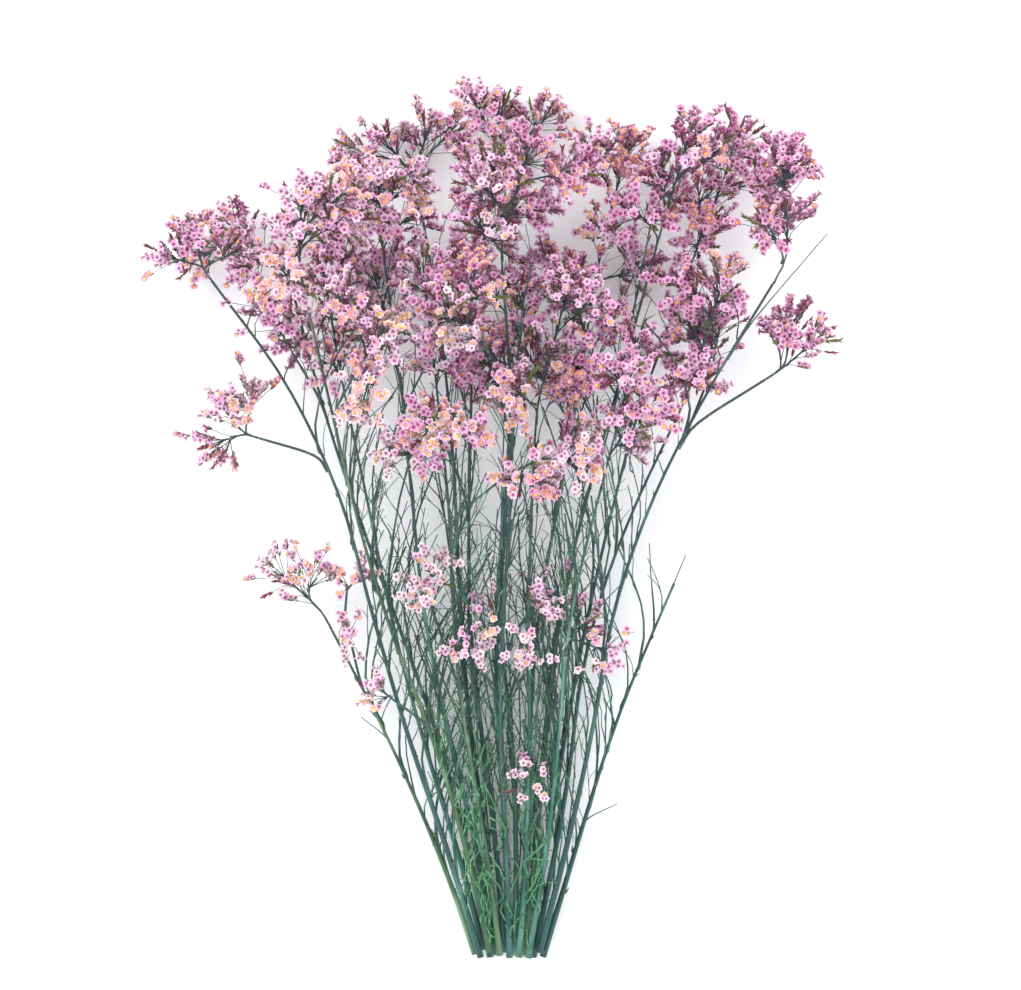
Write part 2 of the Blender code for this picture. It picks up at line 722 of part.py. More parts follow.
def build_node(name, shoots, florets, guide, table, floret_shape, finish, bunch_collection, draw):
    """One node: its thickest shoot with its other shoots and florets joined to it."""
    repeats = bpy.data.collections.new(name + "_repeats")
    bpy.context.scene.collection.children.link(repeats)
    tubes = [tube(f"{name}_shoot_{n}", shoot, guide, repeats) for n, shoot in enumerate(shoots)]
    bpy.context.view_layer.update()
    solids = [as_mesh(one, bunch_collection if n == 0 else repeats) for n, one in enumerate(tubes)]
    for one in tubes:
        bpy.data.objects.remove(one)
    for number, (root, heading, size) in enumerate(florets):
        roll = draw.uniform(0, math.tau)
        floret(f"{name}_floret_{number}", floret_shape, root, heading, size, roll, repeats)
    node = solids[0]
    node.name = name
    join = node.modifiers.new("join", "BOOLEAN")
    join.operation = "UNION"
    join.operand_type = "COLLECTION"
    join.collection = repeats
    join.solver = "MANIFOLD"
    press = node.modifiers.new("press", "BOOLEAN")
    press.operation = "DIFFERENCE"
    press.object = table
    press.solver = "MANIFOLD"
    bpy.context.view_layer.update()
    depsgraph = bpy.context.evaluated_depsgraph_get()
    joined = bpy.data.meshes.new_from_object(node.evaluated_get(depsgraph))
    node.modifiers.clear()
    node.data = joined
    keep_largest_body(joined)
    node.data.name = name
    node.data.materials.clear()
    node.data.materials.append(finish)
    for one in list(repeats.objects):
        bpy.data.objects.remove(one)
    bpy.data.collections.remove(repeats)
    return node


def main():
    for old in list(bpy.data.objects):
        bpy.data.objects.remove(old)
    bunch = Bunch()
    collection = bpy.data.collections.new("dried_statice")
    bpy.context.scene.collection.children.link(collection)
    green = material("stem_green", (0.05, 0.13, 0.09), 0.6)
    pink = material("calyx_pink", (0.62, 0.28, 0.48), 0.7)
    guide = section_guide()
    table = table_cutter()
    floret_shape = floret_mesh()
    for name in bunch.numbers:
        finish = green if name.startswith("stem") else pink
        build_node(
            name, bunch.shoots[name], bunch.florets[name], guide, table, floret_shape, finish,
            collection, bunch.draw,
        )  # fmt: skip
    bpy.data.objects.remove(guide)
    bpy.data.objects.remove(table)


main()
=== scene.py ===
"""The looks of a cut bunch of dried statice: stems, fine twigs and heads of small papery florets.

The rule by which the bunch grows is the one of the part's source, with the same draws and in
millimetres, so that each stem and spray takes its own node's place. MM turns millimetres into metres.
"""

import math
import random

import bpy
import numpy as np
from mathutils import Matrix, Vector


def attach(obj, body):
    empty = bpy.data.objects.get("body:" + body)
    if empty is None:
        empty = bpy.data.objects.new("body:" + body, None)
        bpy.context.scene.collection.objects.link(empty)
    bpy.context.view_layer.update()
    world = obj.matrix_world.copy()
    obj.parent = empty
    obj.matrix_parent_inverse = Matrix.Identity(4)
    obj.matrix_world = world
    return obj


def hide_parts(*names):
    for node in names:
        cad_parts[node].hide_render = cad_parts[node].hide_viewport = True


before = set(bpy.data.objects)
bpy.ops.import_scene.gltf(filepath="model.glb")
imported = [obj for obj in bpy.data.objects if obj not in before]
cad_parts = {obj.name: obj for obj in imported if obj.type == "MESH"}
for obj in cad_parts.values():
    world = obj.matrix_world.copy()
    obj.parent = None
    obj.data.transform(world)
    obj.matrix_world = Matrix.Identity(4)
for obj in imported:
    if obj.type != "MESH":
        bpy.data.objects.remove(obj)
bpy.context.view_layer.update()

MM = 0.001
SEED = 194

# The whole bunch
LENGTH = 700.0
ORIGIN_SHIFT = np.array([0.3, 2.8, -0.5])  # centres the bunch, and lets the table press its feet flat

# The fan of stems. At the foot the stems are packed in three rows like pencils.
STEM_PITCH = 7.5
ROWS = {"top": (7, 1.0), "middle": (8, 0.0), "bottom": (5, -1.0)}
ROW_HEIGHT = STEM_PITCH * math.sqrt(3) / 2
FOOT_HALF_WIDTH = 3.5 * STEM_PITCH
FOOT_CENTRE_X = 13.0
CENTRED_BY = 0.45  # the share of the length at which the fan's middle line reaches x = 0
TOP_HALF_WIDTH = 290.0
TOP_HALF_DEPTH = 82.0
FAN_POWER = 1.06
BED_AT_TOP = 26.0  # the lowest row's height over the table among the flowers
BED_RISEN_BY = 0.5  # the share of the length over which it rises to that height
WANDER_ACROSS = 0.05
WANDER_DEEP = 0.10
WANDER_FULL_BY = 0.35
WANDER_WAVES = (0.8, 1.3)
CUT_STAGGER = 7.0

# Shoots: each leaves along its parent and bends away, and thins towards its tip
EASE_IN = 1.5  # the power that crowds a bend towards the shoot's root
THINNING = 2.2
FOLLOWS_PARENT = 0.4  # the share of a shoot's reach that its parent's direction governs
FOOT_RADIUS = 3.55
STEM_TIP_RADIUS = 1.4
STEM_RINGS = 7
STEM_SAMPLES = 40
BRANCH_RADIUS = 1.7
TWIG_RADIUS = 1.5
SHOOT_TIP_RADIUS = 1.25
BARE_TIP_RADIUS = 0.6

# One floret of the solid model: a five-lobed funnel, larger than life
FLORET_RADIUS = 13.6
FLORET_LENGTH = 27.0
ROOT_DEPTH = 2.0

# Balls that hold a floret, for the clearance: share of its length, and share of its rim's radius
FLORET_BALLS = ((0.3, 0.35), (0.6, 0.68), (0.9, 1.06))

# Heads and flower sprays
FULL_HEAD = 3
THIN_HEAD = 2
TWIG_REACH = (26.0, 54.0)
TWIG_ANGLE = (28.0, 58.0)
SIDE_FLORET_ANGLE = 58.0
SIDE_FLORET_STEP = 7.0
SIDE_FLORET_RISE = 0.4
SIDE_FLORET_SIZE = 0.94
SEAT_GAP = 0.35
COLLAR = 6.0
HEADS_FROM = 0.16
HEADS_OVER = 0.74
HEADS_STRAY = 0.2
ROLL_STRAY = 80.0
FORK_BACK = 1.1  # how far behind its head a twig forks off, as a share of the way across to it
FORK_SHARES = (0.2, 0.85)
GOLDEN_ANGLE = 137.5
CLEARANCE = 1.3
BEAD_STEP = 3.0
NEAR = 28.0
TABLE_PRESS = 3.0  # how far a petal may reach below the table, where it is pressed flat
TALLEST = 226.0
WIDEST = 268.0

# The search for clear places
TRIES = 90
BEND_TRIES = 180
AXIS_TRIES = 360
CHOICES = 5
FULL_HEADS_FOR = 0.7  # the share of the tries that keep heads full, and axes within the outline
STRAY_STEP = 0.3
AXIS_LEAN = (14.0, 48.0)  # how far an axis may lean, in degrees, at the first and the last try
AXIS_SHORTENED = 0.5

# The flowers' outline as seen from above, counter-clockwise from the far left
FLOWER_OUTLINE = [
    (-262, 202), (-199, 185), (-187, 140), (-150, 84), (-109, 70), (-84, 14), (-42, 4), (0, 0),
    (37, 26), (84, 38), (155, 34), (192, 90), (190, 147), (216, 210), (254, 258), (250, 296),
    (204, 326), (150, 322), (104, 334), (56, 328), (8, 306), (-34, 286), (-70, 268),
    (-102, 286), (-152, 280), (-186, 252), (-205, 238), (-262, 224),
]

# The share of the length where a stem's own wood ends and its tip spray begins
LONG_STEM_ENDS = (0.71, 0.80)
SHORT_STEM_ENDS = (0.52, 0.62)
SHORT_STEMS = ("top_2", "top_4", "top_5", "middle_1", "middle_4", "middle_6")
STEM_ENDS = {
    "middle_0": 0.372, "middle_7": 0.425, "top_0": 0.765, "top_6": 0.76, "bottom_1": 0.862,
    "bottom_2": 0.868,
}

# Stems that lean out of the fan: how far over each LEAN_OVER of the length, and from which share on
LEANS = {
    "top_0": (-0.20, 0.58), "top_1": (-0.04, 0.30), "top_5": (0.03, 0.30), "top_6": (0.09, 0.45),
    "middle_5": (0.02, 0.30), "middle_6": (0.08, 0.30), "bottom_0": (-0.05, 0.30),
    "bottom_4": (0.07, 0.30),
}
LEAN_OVER = 0.20

# Heads of the tip sprays that stand apart: across, along, and height over the stem's tip
TIP_HEADS = {
    "top_0": [(-232, 216, 4), (-250, 204, 12), (-206, 206, -6)],
    "bottom_1": [(-80, 290, 10), (-104, 288, 0), (-54, 298, 4), (-34, 304, 14)],
    "bottom_2": [(4, 316, 8), (-26, 302, 16), (38, 312, 2), (14, 288, -4)],
    "middle_0": [(-164, -48, 6), (-146, -52, 16)],
}

# Side sprays that stand apart: stem, share along it, seat, and heads with their height over the seat
LOOSE_SPRAYS = [
    ("top_0", 0.70, (-184, 62, 6), [(-206, 78, 8), (-190, 88, -4), (-212, 60, 2)]),
    ("top_6", 0.74, (214, 108, 4), [(250, 136, 8), (224, 138, 0), (234, 150, -14)]),
    ("middle_0", 0.90, (-116, -66, 14), [(-108, -52, 6)]),
    ("middle_0", 0.78, (-112, -100, 16), [(-114, -92, 8)]),
    ("top_2", 0.45, (-48, -72, 18), [(-42, -52, 12), (-58, -64, 22)]),
    ("top_3", 0.35, (-12, -112, 18), [(-20, -104, 10)]),
    ("top_3", 0.40, (14, -100, 20), [(2, -82, 8), (32, -76, 18), (22, -98, 30)]),
    ("top_5", 0.42, (60, -108, 20), [(58, -88, 10), (84, -104, 26), (52, -62, 6)]),
    ("top_4", 0.20, (40, -222, 20), [(36, -208, 10), (68, -206, 24)]),
    ("top_1", 0.33, (-76, -146, 18), [(-86, -138, 8)]),
]
BARE_STEM = "middle_7"

# Flowerless twigs at chosen points: stem, share along it, and where they end, as for the side sprays
BARE_TWIGS = [
    ("middle_7", 0.93, (152, -30, 10)),
    ("middle_7", 0.84, (124, -40, 16)),
    ("top_6", 0.88, (262, 222, 16)),
]
OUTER_HEAD_SIZE = 0.9
LOOSE_HEAD_SIZE = 0.82
MASS_SPRAYS = 10
MASS_SHARES = np.linspace(0.4, 1.0, 61)  # the places of a stem that are looked at for the flower mass
BELOW_MASS = 0.05  # how far below the flower mass its side sprays may branch off
TIP_SPRAY_REACH = (108.0, 134.0)
SIDE_SPRAY_REACH = (74.0, 100.0)
SIDE_BRANCH_REACH = (44.0, 66.0)
SIDE_BRANCH_ANGLE = (26.0, 42.0)
SIDE_BRANCH_LAST = 0.86
SIDE_BRANCH_LOWEST = 22.0
TIP_SPRAY_HEADS = 4
SIDE_SPRAY_HEADS = 3
BARE_TWIG_SHARES = (0.30, 0.75)
BARE_TWIG_ANGLE = (24.0, 50.0)
BARE_TWIG_REACH = (24.0, 48.0)
BARE_TWIG_LOWEST = 3.0


def unit(vector):
    return vector / np.linalg.norm(vector)


def stem_names():
    return [f"{row}_{place}" for row, (count, _) in ROWS.items() for place in range(count)]


def fan_place(stem):
    """A stem's place in the fan: across from -1 to 1, and its row's depth."""
    row, place = stem.split("_")
    count, deep = ROWS[row]
    across = (int(place) - (count - 1) / 2) * STEM_PITCH / FOOT_HALF_WIDTH
    return across, deep


def fan_point(across, deep, share):
    """The point at a share of the length on the fan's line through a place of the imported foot."""
    spread = max(share, 0.0) ** FAN_POWER
    half_width = FOOT_HALF_WIDTH + (TOP_HALF_WIDTH - FOOT_HALF_WIDTH) * spread
    half_depth = ROW_HEIGHT + (TOP_HALF_DEPTH - ROW_HEIGHT) * spread
    settle = min(share / CENTRED_BY, 1.0)
    centre = FOOT_CENTRE_X * (1 - settle * settle * (3 - 2 * settle))
    rise = min(max(share, 0.0) / BED_RISEN_BY, 1.0)
    lowest = FOOT_RADIUS * math.sqrt(3) / 2
    bed = lowest + (BED_AT_TOP - lowest) * rise * rise * (3 - 2 * rise)
    return np.array([
        centre + across * half_width,
        LENGTH * (share - 0.5),
        bed + half_depth * (1 + deep),
    ])


def inside_outline(x, y):
    inside = False
    for (x0, y0), (x1, y1) in zip(FLOWER_OUTLINE, FLOWER_OUTLINE[1:] + FLOWER_OUTLINE[:1]):
        if (y0 > y) != (y1 > y) and x < x0 + (x1 - x0) * (y - y0) / (y1 - y0):
            inside = not inside
    return inside


def resample(path, count):
    """The same path in evenly spaced points."""
    path = np.array(path)
    steps = np.linalg.norm(np.diff(path, axis=0), axis=1)
    done = np.concatenate([[0.0], np.cumsum(steps)])
    wanted = np.linspace(0.0, done[-1], count)
    return list(np.stack([np.interp(wanted, done, path[:, k]) for k in range(3)], axis=1))


def along(path, share):
    """The point and direction at a share of a path's length."""
    steps = [np.linalg.norm(b - a) for a, b in zip(path, path[1:])]
    left = share * sum(steps)
    for (a, b), step in zip(zip(path, path[1:]), steps):
        if left <= step or b is path[-1]:
            return a + (b - a) * (left / step), unit(b - a)
        left -= step


def arc(start, heading, end, count):
    """A shoot's path that leaves start along heading and bends over to end, soonest near its root."""
    middle = start + unit(heading) * np.linalg.norm(end - start) * FOLLOWS_PARENT
    shares = np.linspace(0.0, 1.0, count) ** EASE_IN
    return [start * (1 - s) ** 2 + middle * 2 * s * (1 - s) + end * s * s for s in shares]


def side_vectors(heading):
    """Two unit vectors square to a heading."""
    flat = unit(np.cross(heading, [0.0, 0.0, 1.0]))
    return flat, np.cross(flat, heading)


def turned(heading, angle, roll):
    """A heading tilted by an angle towards a roll round it, both in degrees."""
    flat, up = side_vectors(heading)
    aside = flat * math.cos(math.radians(roll)) + up * math.sin(math.radians(roll))
    return unit(heading * math.cos(math.radians(angle)) + aside * math.sin(math.radians(angle)))


def shoot_beads(path, thick, thin):
    """Balls along a shoot, as rows of x, y, z and radius."""
    length = np.linalg.norm(np.diff(path, axis=0), axis=1).sum()
    count = max(2, int(length / BEAD_STEP) + 1)
    radii = taper(thick, thin, np.linspace(0.0, 1.0, count))
    return [[*point, radius] for point, radius in zip(resample(path, count), radii)]


def taper(thick, thin, share):
    """The radius at a share of a shoot, which thins soonest near its root."""
    return thin + (thick - thin) * (1 - share) ** THINNING


def floret_beads(root, heading, size):
    """Balls that hold one floret."""
    return [
        [*(root + heading * FLORET_LENGTH * size * share), FLORET_RADIUS * size * wide]
        for share, wide in FLORET_BALLS
    ]


def floret_rim(root, heading, size):
    return root + heading * FLORET_LENGTH * size


def seat_on(carrier):
    """A spray's place on the end of its carrier: its heading, its seat and the end of its collar."""
    heading = unit(carrier[-1] - carrier[-2])
    seat = carrier[-1] + heading * SEAT_GAP
    return heading, seat, seat + heading * COLLAR


class Room:
    """Balls along all that has grown, so that a new shoot can be bent clear of its neighbours."""

    def __init__(self):
        self.beads = np.zeros((0, 4))
        self.owners = np.zeros(0, int)
        self.rims = []

    def clear(self, beads, owner):
        beads = np.array(beads)
        low, high = beads[:, :3].min(axis=0) - NEAR, beads[:, :3].max(axis=0) + NEAR
        close = ((self.beads[:, :3] > low) & (self.beads[:, :3] < high)).all(axis=1)
        near = self.beads[close & (self.owners != owner)]
        if not len(near):
            return True
        apart = np.linalg.norm(beads[:, None, :3] - near[None, :, :3], axis=2)
        return (apart - beads[:, None, 3] - near[None, :, 3]).min() > CLEARANCE

    def emptiness(self, florets):
        """How far the florets' rims are, seen from above, from the nearest ones in place."""
        if not self.rims:
            return 0.0
        rims = np.array([floret_rim(*floret)[:2] for floret in florets])
        apart = np.linalg.norm(rims[:, None] - np.array(self.rims)[None], axis=2)
        return np.sort(apart, axis=1)[:, :3].mean()

    def add(self, beads, owner):
        self.beads = np.vstack([self.beads, beads])
        self.owners = np.concatenate([self.owners, np.full(len(beads), owner)])


class Bunch:
    """The skeleton of the bunch: each node's shoots, and the florets with their headings."""

    def __init__(self):
        self.draw = random.Random(SEED)
        self.room = Room()
        self.shoots = {}
        self.florets = {}
        self.numbers = {}
        self.axes = []
        self.grow_stems()
        self.grow_outer_sprays()
        self.grow_loose_sprays()
        self.grow_tip_sprays()
        self.grow_mass_sprays()
        self.grow_heads()
        self.grow_bare_twigs()

    def within(self, limits):
        return self.draw.uniform(*limits)

    def any_turn(self):
        return self.draw.uniform(0, 360)

    def open_node(self, name):
        self.numbers[name] = len(self.numbers)
        self.shoots[name] = []
        self.florets[name] = []

    def next_spray(self):
        grown = sum(name.startswith("flower") for name in self.numbers)
        return f"flower_spray_{grown + 1:02d}"

    def rod(self, stem):
        """The path of a stem's own wood."""
        return self.shoots[f"stem_{stem}"][0][0]

    def add_shoot(self, node, path, thick, thin):
        self.shoots[node].append((path, thick, thin))
        self.room.add(shoot_beads(path, thick, thin), self.numbers[node])

    def add_twig(self, node, path, florets):
        """A spray's shoot with the florets at its end."""
        self.add_shoot(node, path, TWIG_RADIUS, SHOOT_TIP_RADIUS)
        self.florets[node] += florets
        for floret in florets:
            self.room.add(floret_beads(*floret), self.numbers[node])
            self.room.rims.append(floret_rim(*floret)[:2])

    def stem_end(self, stem):
        """The share of the length where a stem's own wood ends and its tip spray begins."""
        if stem in STEM_ENDS:
            return STEM_ENDS[stem]
        return self.within(SHORT_STEM_ENDS if stem in SHORT_STEMS else LONG_STEM_ENDS)

    def grow_stems(self):
        for stem in stem_names():
            node = f"stem_{stem}"
            self.open_node(node)
            across, deep = fan_place(stem)
            end = self.stem_end(stem)
            phase = self.draw.uniform(0, math.tau)
            wave = self.within(WANDER_WAVES)
            start = self.draw.uniform(0, CUT_STAGGER) / LENGTH
            lean, lean_from = LEANS.get(stem, (0.0, 0.0))
            fine = []
            for share in np.linspace(start, end, STEM_SAMPLES):
                ramp = min(share / WANDER_FULL_BY, 1.0) ** EASE_IN
                bow = math.sin(math.tau * wave * share + phase) - math.sin(phase)
                sway = math.cos(math.tau * wave * share + phase) - math.cos(phase)
                outwards = lean * max(0.0, share - lean_from) / LEAN_OVER
                u = across + outwards + WANDER_ACROSS * ramp * bow
                w = deep + WANDER_DEEP * ramp * sway
                fine.append(fan_point(u, max(w, -1.0), share))
            self.add_shoot(node, resample(fine, STEM_RINGS), FOOT_RADIUS, STEM_TIP_RADIUS)

    def head_florets(self, hub_path, size, full, roll):
        """The florets round the end of a twig: one at its tip and the others just under it."""
        tip, heading = hub_path[-1], unit(hub_path[-1] - hub_path[-2])
        rows = [(tip - heading * ROOT_DEPTH, heading, size)]
        for number in range(1, full):
            root = tip - heading * (ROOT_DEPTH + SIDE_FLORET_STEP * (number - SIDE_FLORET_RISE))
            aside = turned(heading, SIDE_FLORET_ANGLE, roll + 180 * number)
            rows.append((root, aside, size * SIDE_FLORET_SIZE))
        return rows

    def fits(self, node, twig, florets, in_outline):
        """Whether a twig with its florets is clear of the table, the limits and its neighbours."""
        beads = shoot_beads(twig, TWIG_RADIUS, SHOOT_TIP_RADIUS)
        for root, heading, size in florets:
            beads += floret_beads(root, heading, size)
            rim = floret_rim(root, heading, size)
            low = FLORET_RADIUS * size * math.sqrt(max(0.0, 1 - heading[2] ** 2)) - TABLE_PRESS
            if rim[2] < low or rim[2] > TALLEST or abs(rim[0]) > WIDEST:
                return False
            if in_outline and not inside_outline(rim[0], rim[1]):
                return False
        if min(bead[2] - min(bead[3], ROOT_DEPTH) for bead in beads) < 0:
            return False
        return self.room.clear(beads, self.numbers[node])

    def grow_fixed_spray(self, carrier, heads, base_height, size):
        """A spray with its heads near given points; the first one ends its axis."""
        name = self.next_spray()
        self.open_node(name)
        places = [np.array([x, y, base_height + z], float) for x, y, z in heads]
        heading, seat, collar = seat_on(carrier)
        twig, florets = self.bend_clear(name, collar, heading, places[0], size)
        axis = [seat, *twig]
        self.add_twig(name, axis, florets)
        reach = np.linalg.norm(axis[-1] - axis[0])
        line = unit(axis[-1] - axis[0])
        for place in places[1:]:
            ahead = (place - axis[0]) @ line
            beside = np.linalg.norm(place - axis[0] - ahead * line)
            share = min(max((ahead - FORK_BACK * beside) / reach, FORK_SHARES[0]), FORK_SHARES[1])
            start, onward = along(axis, share)
            found = self.bend_clear(name, start, onward, place, size)
            if found:
                self.add_twig(name, *found)

    def bend_clear(self, node, start, heading, place, size):
        """A twig to a clear place as near as can be to the one asked for, with its florets."""
        for attempt in range(BEND_TRIES):
            stray = STRAY_STEP * attempt
            shift = np.array([self.draw.uniform(-1, 1) for _ in range(3)]) * stray
            twig = arc(start, heading, place + shift, 3)
            florets = self.head_florets(twig, size, THIN_HEAD, self.any_turn())
            if self.fits(node, twig, florets, False):
                return twig, florets
        return None

    def grow_loose_sprays(self):
        for stem, share, seat, heads in LOOSE_SPRAYS:
            start, heading = along(self.rod(stem), share)
            end = np.array([seat[0], seat[1], start[2] + seat[2]], float)
            branch = arc(start, heading, end, 3)
            self.add_shoot(f"stem_{stem}", branch, BRANCH_RADIUS, TWIG_RADIUS)
            self.grow_fixed_spray(branch, heads, end[2], LOOSE_HEAD_SIZE)

    def grow_heads(self):
        """Heads round the free sprays' axes, one on each spray in turn, so that all get their share."""
        most = max(heads for _, _, heads, _ in self.axes)
        for number in range(most):
            for node, axis, heads, roll in self.axes:
                if number < heads:
                    stray = self.draw.uniform(-HEADS_STRAY, HEADS_STRAY)
                    share = HEADS_FROM + HEADS_OVER * (number + stray) / heads
                    self.grow_head(node, axis, share, roll + GOLDEN_ANGLE * number)

    def emptiest(self, node, tries, draw_one):
        """A path with its florets in the emptiest of the clear places that the draw finds, or None."""
        best = None
        found = 0
        for attempt in range(tries):
            path, florets, in_outline = draw_one(attempt / tries)
            if not self.fits(node, path, florets, in_outline):
                continue
            found += 1
            empty = self.room.emptiness(florets)
            if best is None or empty > best[0]:
                best = (empty, path, florets)
            if found == CHOICES:
                break
        return best and best[1:]

    def grow_head(self, node, axis, share, roll):
        """A head on a twig that leaves a spray's axis."""
        start, heading = along(axis, share)

        def draw_twig(ease):
            full = FULL_HEAD if ease < FULL_HEADS_FOR else THIN_HEAD
            reach = self.within(TWIG_REACH)
            angle = self.within(TWIG_ANGLE)
            aside = turned(heading, angle, roll + self.draw.uniform(-ROLL_STRAY, ROLL_STRAY))
            twig = arc(start, heading, start + aside * reach, 3)
            return twig, self.head_florets(twig, 1.0, full, self.any_turn()), True

        found = self.emptiest(node, TRIES, draw_twig)
        if found:
            self.add_twig(node, *found)

    def grow_free_spray(self, carrier, reach_range, heads):
        """A spray on the end of a carrier, its axis tried in ever wider and shorter ways."""
        heading, seat, collar = seat_on(carrier)

        def draw_axis(ease):
            reach = self.within(reach_range) * (1 - AXIS_SHORTENED * ease)
            lean = AXIS_LEAN[0] + (AXIS_LEAN[1] - AXIS_LEAN[0]) * ease
            aside = turned(heading, self.draw.uniform(0, lean), self.any_turn())
            axis = arc(collar, heading, carrier[-1] + aside * reach, 3)
            florets = self.head_florets(axis, 1.0, FULL_HEAD, self.any_turn())
            return axis, florets, ease < FULL_HEADS_FOR

        name = self.next_spray()
        self.numbers[name] = len(self.numbers)
        found = self.emptiest(name, AXIS_TRIES, draw_axis)
        del self.numbers[name]
        if not found:
            return False
        self.open_node(name)
        axis = [seat, *found[0]]
        self.add_twig(name, axis, found[1])
        self.axes.append((name, axis, heads - 1, self.any_turn()))
        return True

    def grow_outer_sprays(self):
        for stem, heads in TIP_HEADS.items():
            path = self.rod(stem)
            self.grow_fixed_spray(path, heads, path[-1][2], OUTER_HEAD_SIZE)

    def grow_tip_sprays(self):
        for stem in stem_names():
            if stem not in TIP_HEADS and stem != BARE_STEM:
                self.grow_free_spray(self.rod(stem), TIP_SPRAY_REACH, TIP_SPRAY_HEADS)

    def grow_mass_sprays(self):
        """Side sprays that fill the flower mass, on the stems with the longest bare stretch in it."""
        room_left = []
        for stem in stem_names():
            path = self.rod(stem)
            shares = [s for s in MASS_SHARES if inside_outline(*along(path, s)[0][:2])]
            if shares and stem not in TIP_HEADS:
                room_left.append((shares[-1] - shares[0], stem, shares[0]))
        for _, stem, first in sorted(room_left, reverse=True)[:MASS_SPRAYS]:
            node = f"stem_{stem}"
            for _ in range(BEND_TRIES):
                share = self.draw.uniform(first - BELOW_MASS, SIDE_BRANCH_LAST)
                start, heading = along(self.rod(stem), share)
                angle = self.within(SIDE_BRANCH_ANGLE)
                aside = turned(heading, angle, self.any_turn())
                end = start + aside * self.within(SIDE_BRANCH_REACH)
                branch = arc(start, heading, end, 4)
                beads = shoot_beads(branch, BRANCH_RADIUS, TWIG_RADIUS)
                if end[2] > SIDE_BRANCH_LOWEST and self.room.clear(beads, self.numbers[node]):
                    if self.grow_free_spray(branch, SIDE_SPRAY_REACH, SIDE_SPRAY_HEADS):
                        self.add_shoot(node, branch, BRANCH_RADIUS, TWIG_RADIUS)
                        break

    def grow_bare_twigs(self):
        """Short flowerless twigs: a few at listed points, and one low on each stem."""
        for stem, share, end in BARE_TWIGS:
            start, heading = along(self.rod(stem), share)
            self.add_bare_twig(stem, start, heading, np.array([*end[:2], start[2] + end[2]], float))
        for stem in stem_names():
            for _ in range(TRIES):
                start, heading = along(self.rod(stem), self.within(BARE_TWIG_SHARES))
                aside = turned(heading, self.within(BARE_TWIG_ANGLE), self.any_turn())
                end = start + aside * self.within(BARE_TWIG_REACH)
                if self.add_bare_twig(stem, start, heading, end):
                    break

    def add_bare_twig(self, stem, start, heading, end):
        node = f"stem_{stem}"
        twig = arc(start, heading, end, 3)
        beads = shoot_beads(twig, TWIG_RADIUS, BARE_TIP_RADIUS)
        if end[2] < BARE_TWIG_LOWEST or not self.room.clear(beads, self.numbers[node]):
            return False
        self.add_shoot(node, twig, TWIG_RADIUS, BARE_TIP_RADIUS)
        return True


LOOKS_SEED = 5
TABLE_TOP = 0.0

# The finishes, by their place among a piece's materials
STEM, TWIG, BRIGHT, OLIVE, DEEP, PITH = range(6)
CALYX, BUD, COROLLA, BRACT = range(4)

# Flower heads: each floret funnel of the solids is a flat-topped head of short one-sided spikes
SPIKES = (5, 6)
LOW_SPIKES = (3, 4)
HEAD_HEIGHT = (0.84, 1.02)
SPIKE_SPREAD = 17.0
OUTER_SPREAD = (0.75, 1.0)
MIDDLE_SPREAD = 0.15
SPIKE_ROLL_STRAY = 24.0
SPIKE_BACK = 19.0  # how far below the head's top its spikes part from the stalk
SPIKE_BACK_STRAY = (0.5, 0.9)
SPIKE_RADII = (0.504, 0.252)
STALK_RADII = (0.62, 0.434)
FLORETS_A_SPIKE = (4, 7)
LOW_FLORETS = (3, 5)
FLORET_STEP = 2.6
FLORET_SIZE = (0.86, 1.14)
FLORET_ONWARD = 0.62
FLORET_UP = (0.45, 0.85)
TIP_FLORET_UP = 0.15
FLORET_ASIDE = (0.25, 0.55)
FACE_UP = 0.35  # how strongly florets turn up from the table
BRACT_SIZE = 1.25
BRACT_ONWARD = 0.9
BRACT_DOWN = (0.15, 0.4)
BRACT_ASIDE = (0.1, 0.4)
TONE_STRAY = 0.25
SHUT_SPIKES = 0.17  # the share of spikes not yet in flower
SHUT_STEP = 1.3
SHUT_BRACTS_MORE = 5
SHUT_BRACT_SIZE = 1.4
SHUT_TONES = (0.15, 0.7, 0.85)
PATH_ENDS = (0.02, 0.999)  # the shares that still lie well on a spike

# Side spikes along the sprays' twigs
SIDE_SPIKES_OVER = (0.3, 1.0)
SIDE_SPIKE_STEP = 3.9
SIDE_SPIKE_REACH = (15.0, 43.0)
SIDE_SPIKE_ANGLE = (24.0, 46.0)
SIDE_SPIKE_FLORETS = (3, 5)
SIDE_SPIKE_SIZE = 0.9

# Colour over the bunch, in millimetres: along it from pale to full, and across from orange to magenta
PALE_BELOW = (-60.0, 170.0)
LOW_HEADS_BELOW = -20.0
MAGENTA_TO_RIGHT = (-110.0, 150.0)
HEAD_TONE_SPREAD = 0.19
YELLOW_LEFT = 0.42
YELLOW_RIGHT = 0.12

# A drawn shoot's thickness at its root and tip, as shares of its solid's
STALK_SHARES = (0.76, 0.76)
BRANCH_SHARES = (0.75, 0.7)
SPRAY_SHARES = (0.68, 0.6)
STEM_POINTS = 28
SHOOT_POINTS = 9

# Long side branches, which run on beside their stem
LONG_BRANCHES = 8
LONG_BRANCHES_OVER = (0.01, 0.78)
LONG_BRANCH_REACH = (90.0, 210.0)
LONG_BRANCH_ANGLE = (3.0, 10.0)
LONG_BRANCH_RADIUS = (0.8, 1.7)
LONG_BRANCH_WAVE = 0.012
LONG_BRANCH_LOWEST = 3.0
INWARDS_FROM = 0.55  # how far across the fan a stem's side shoots begin to turn inwards

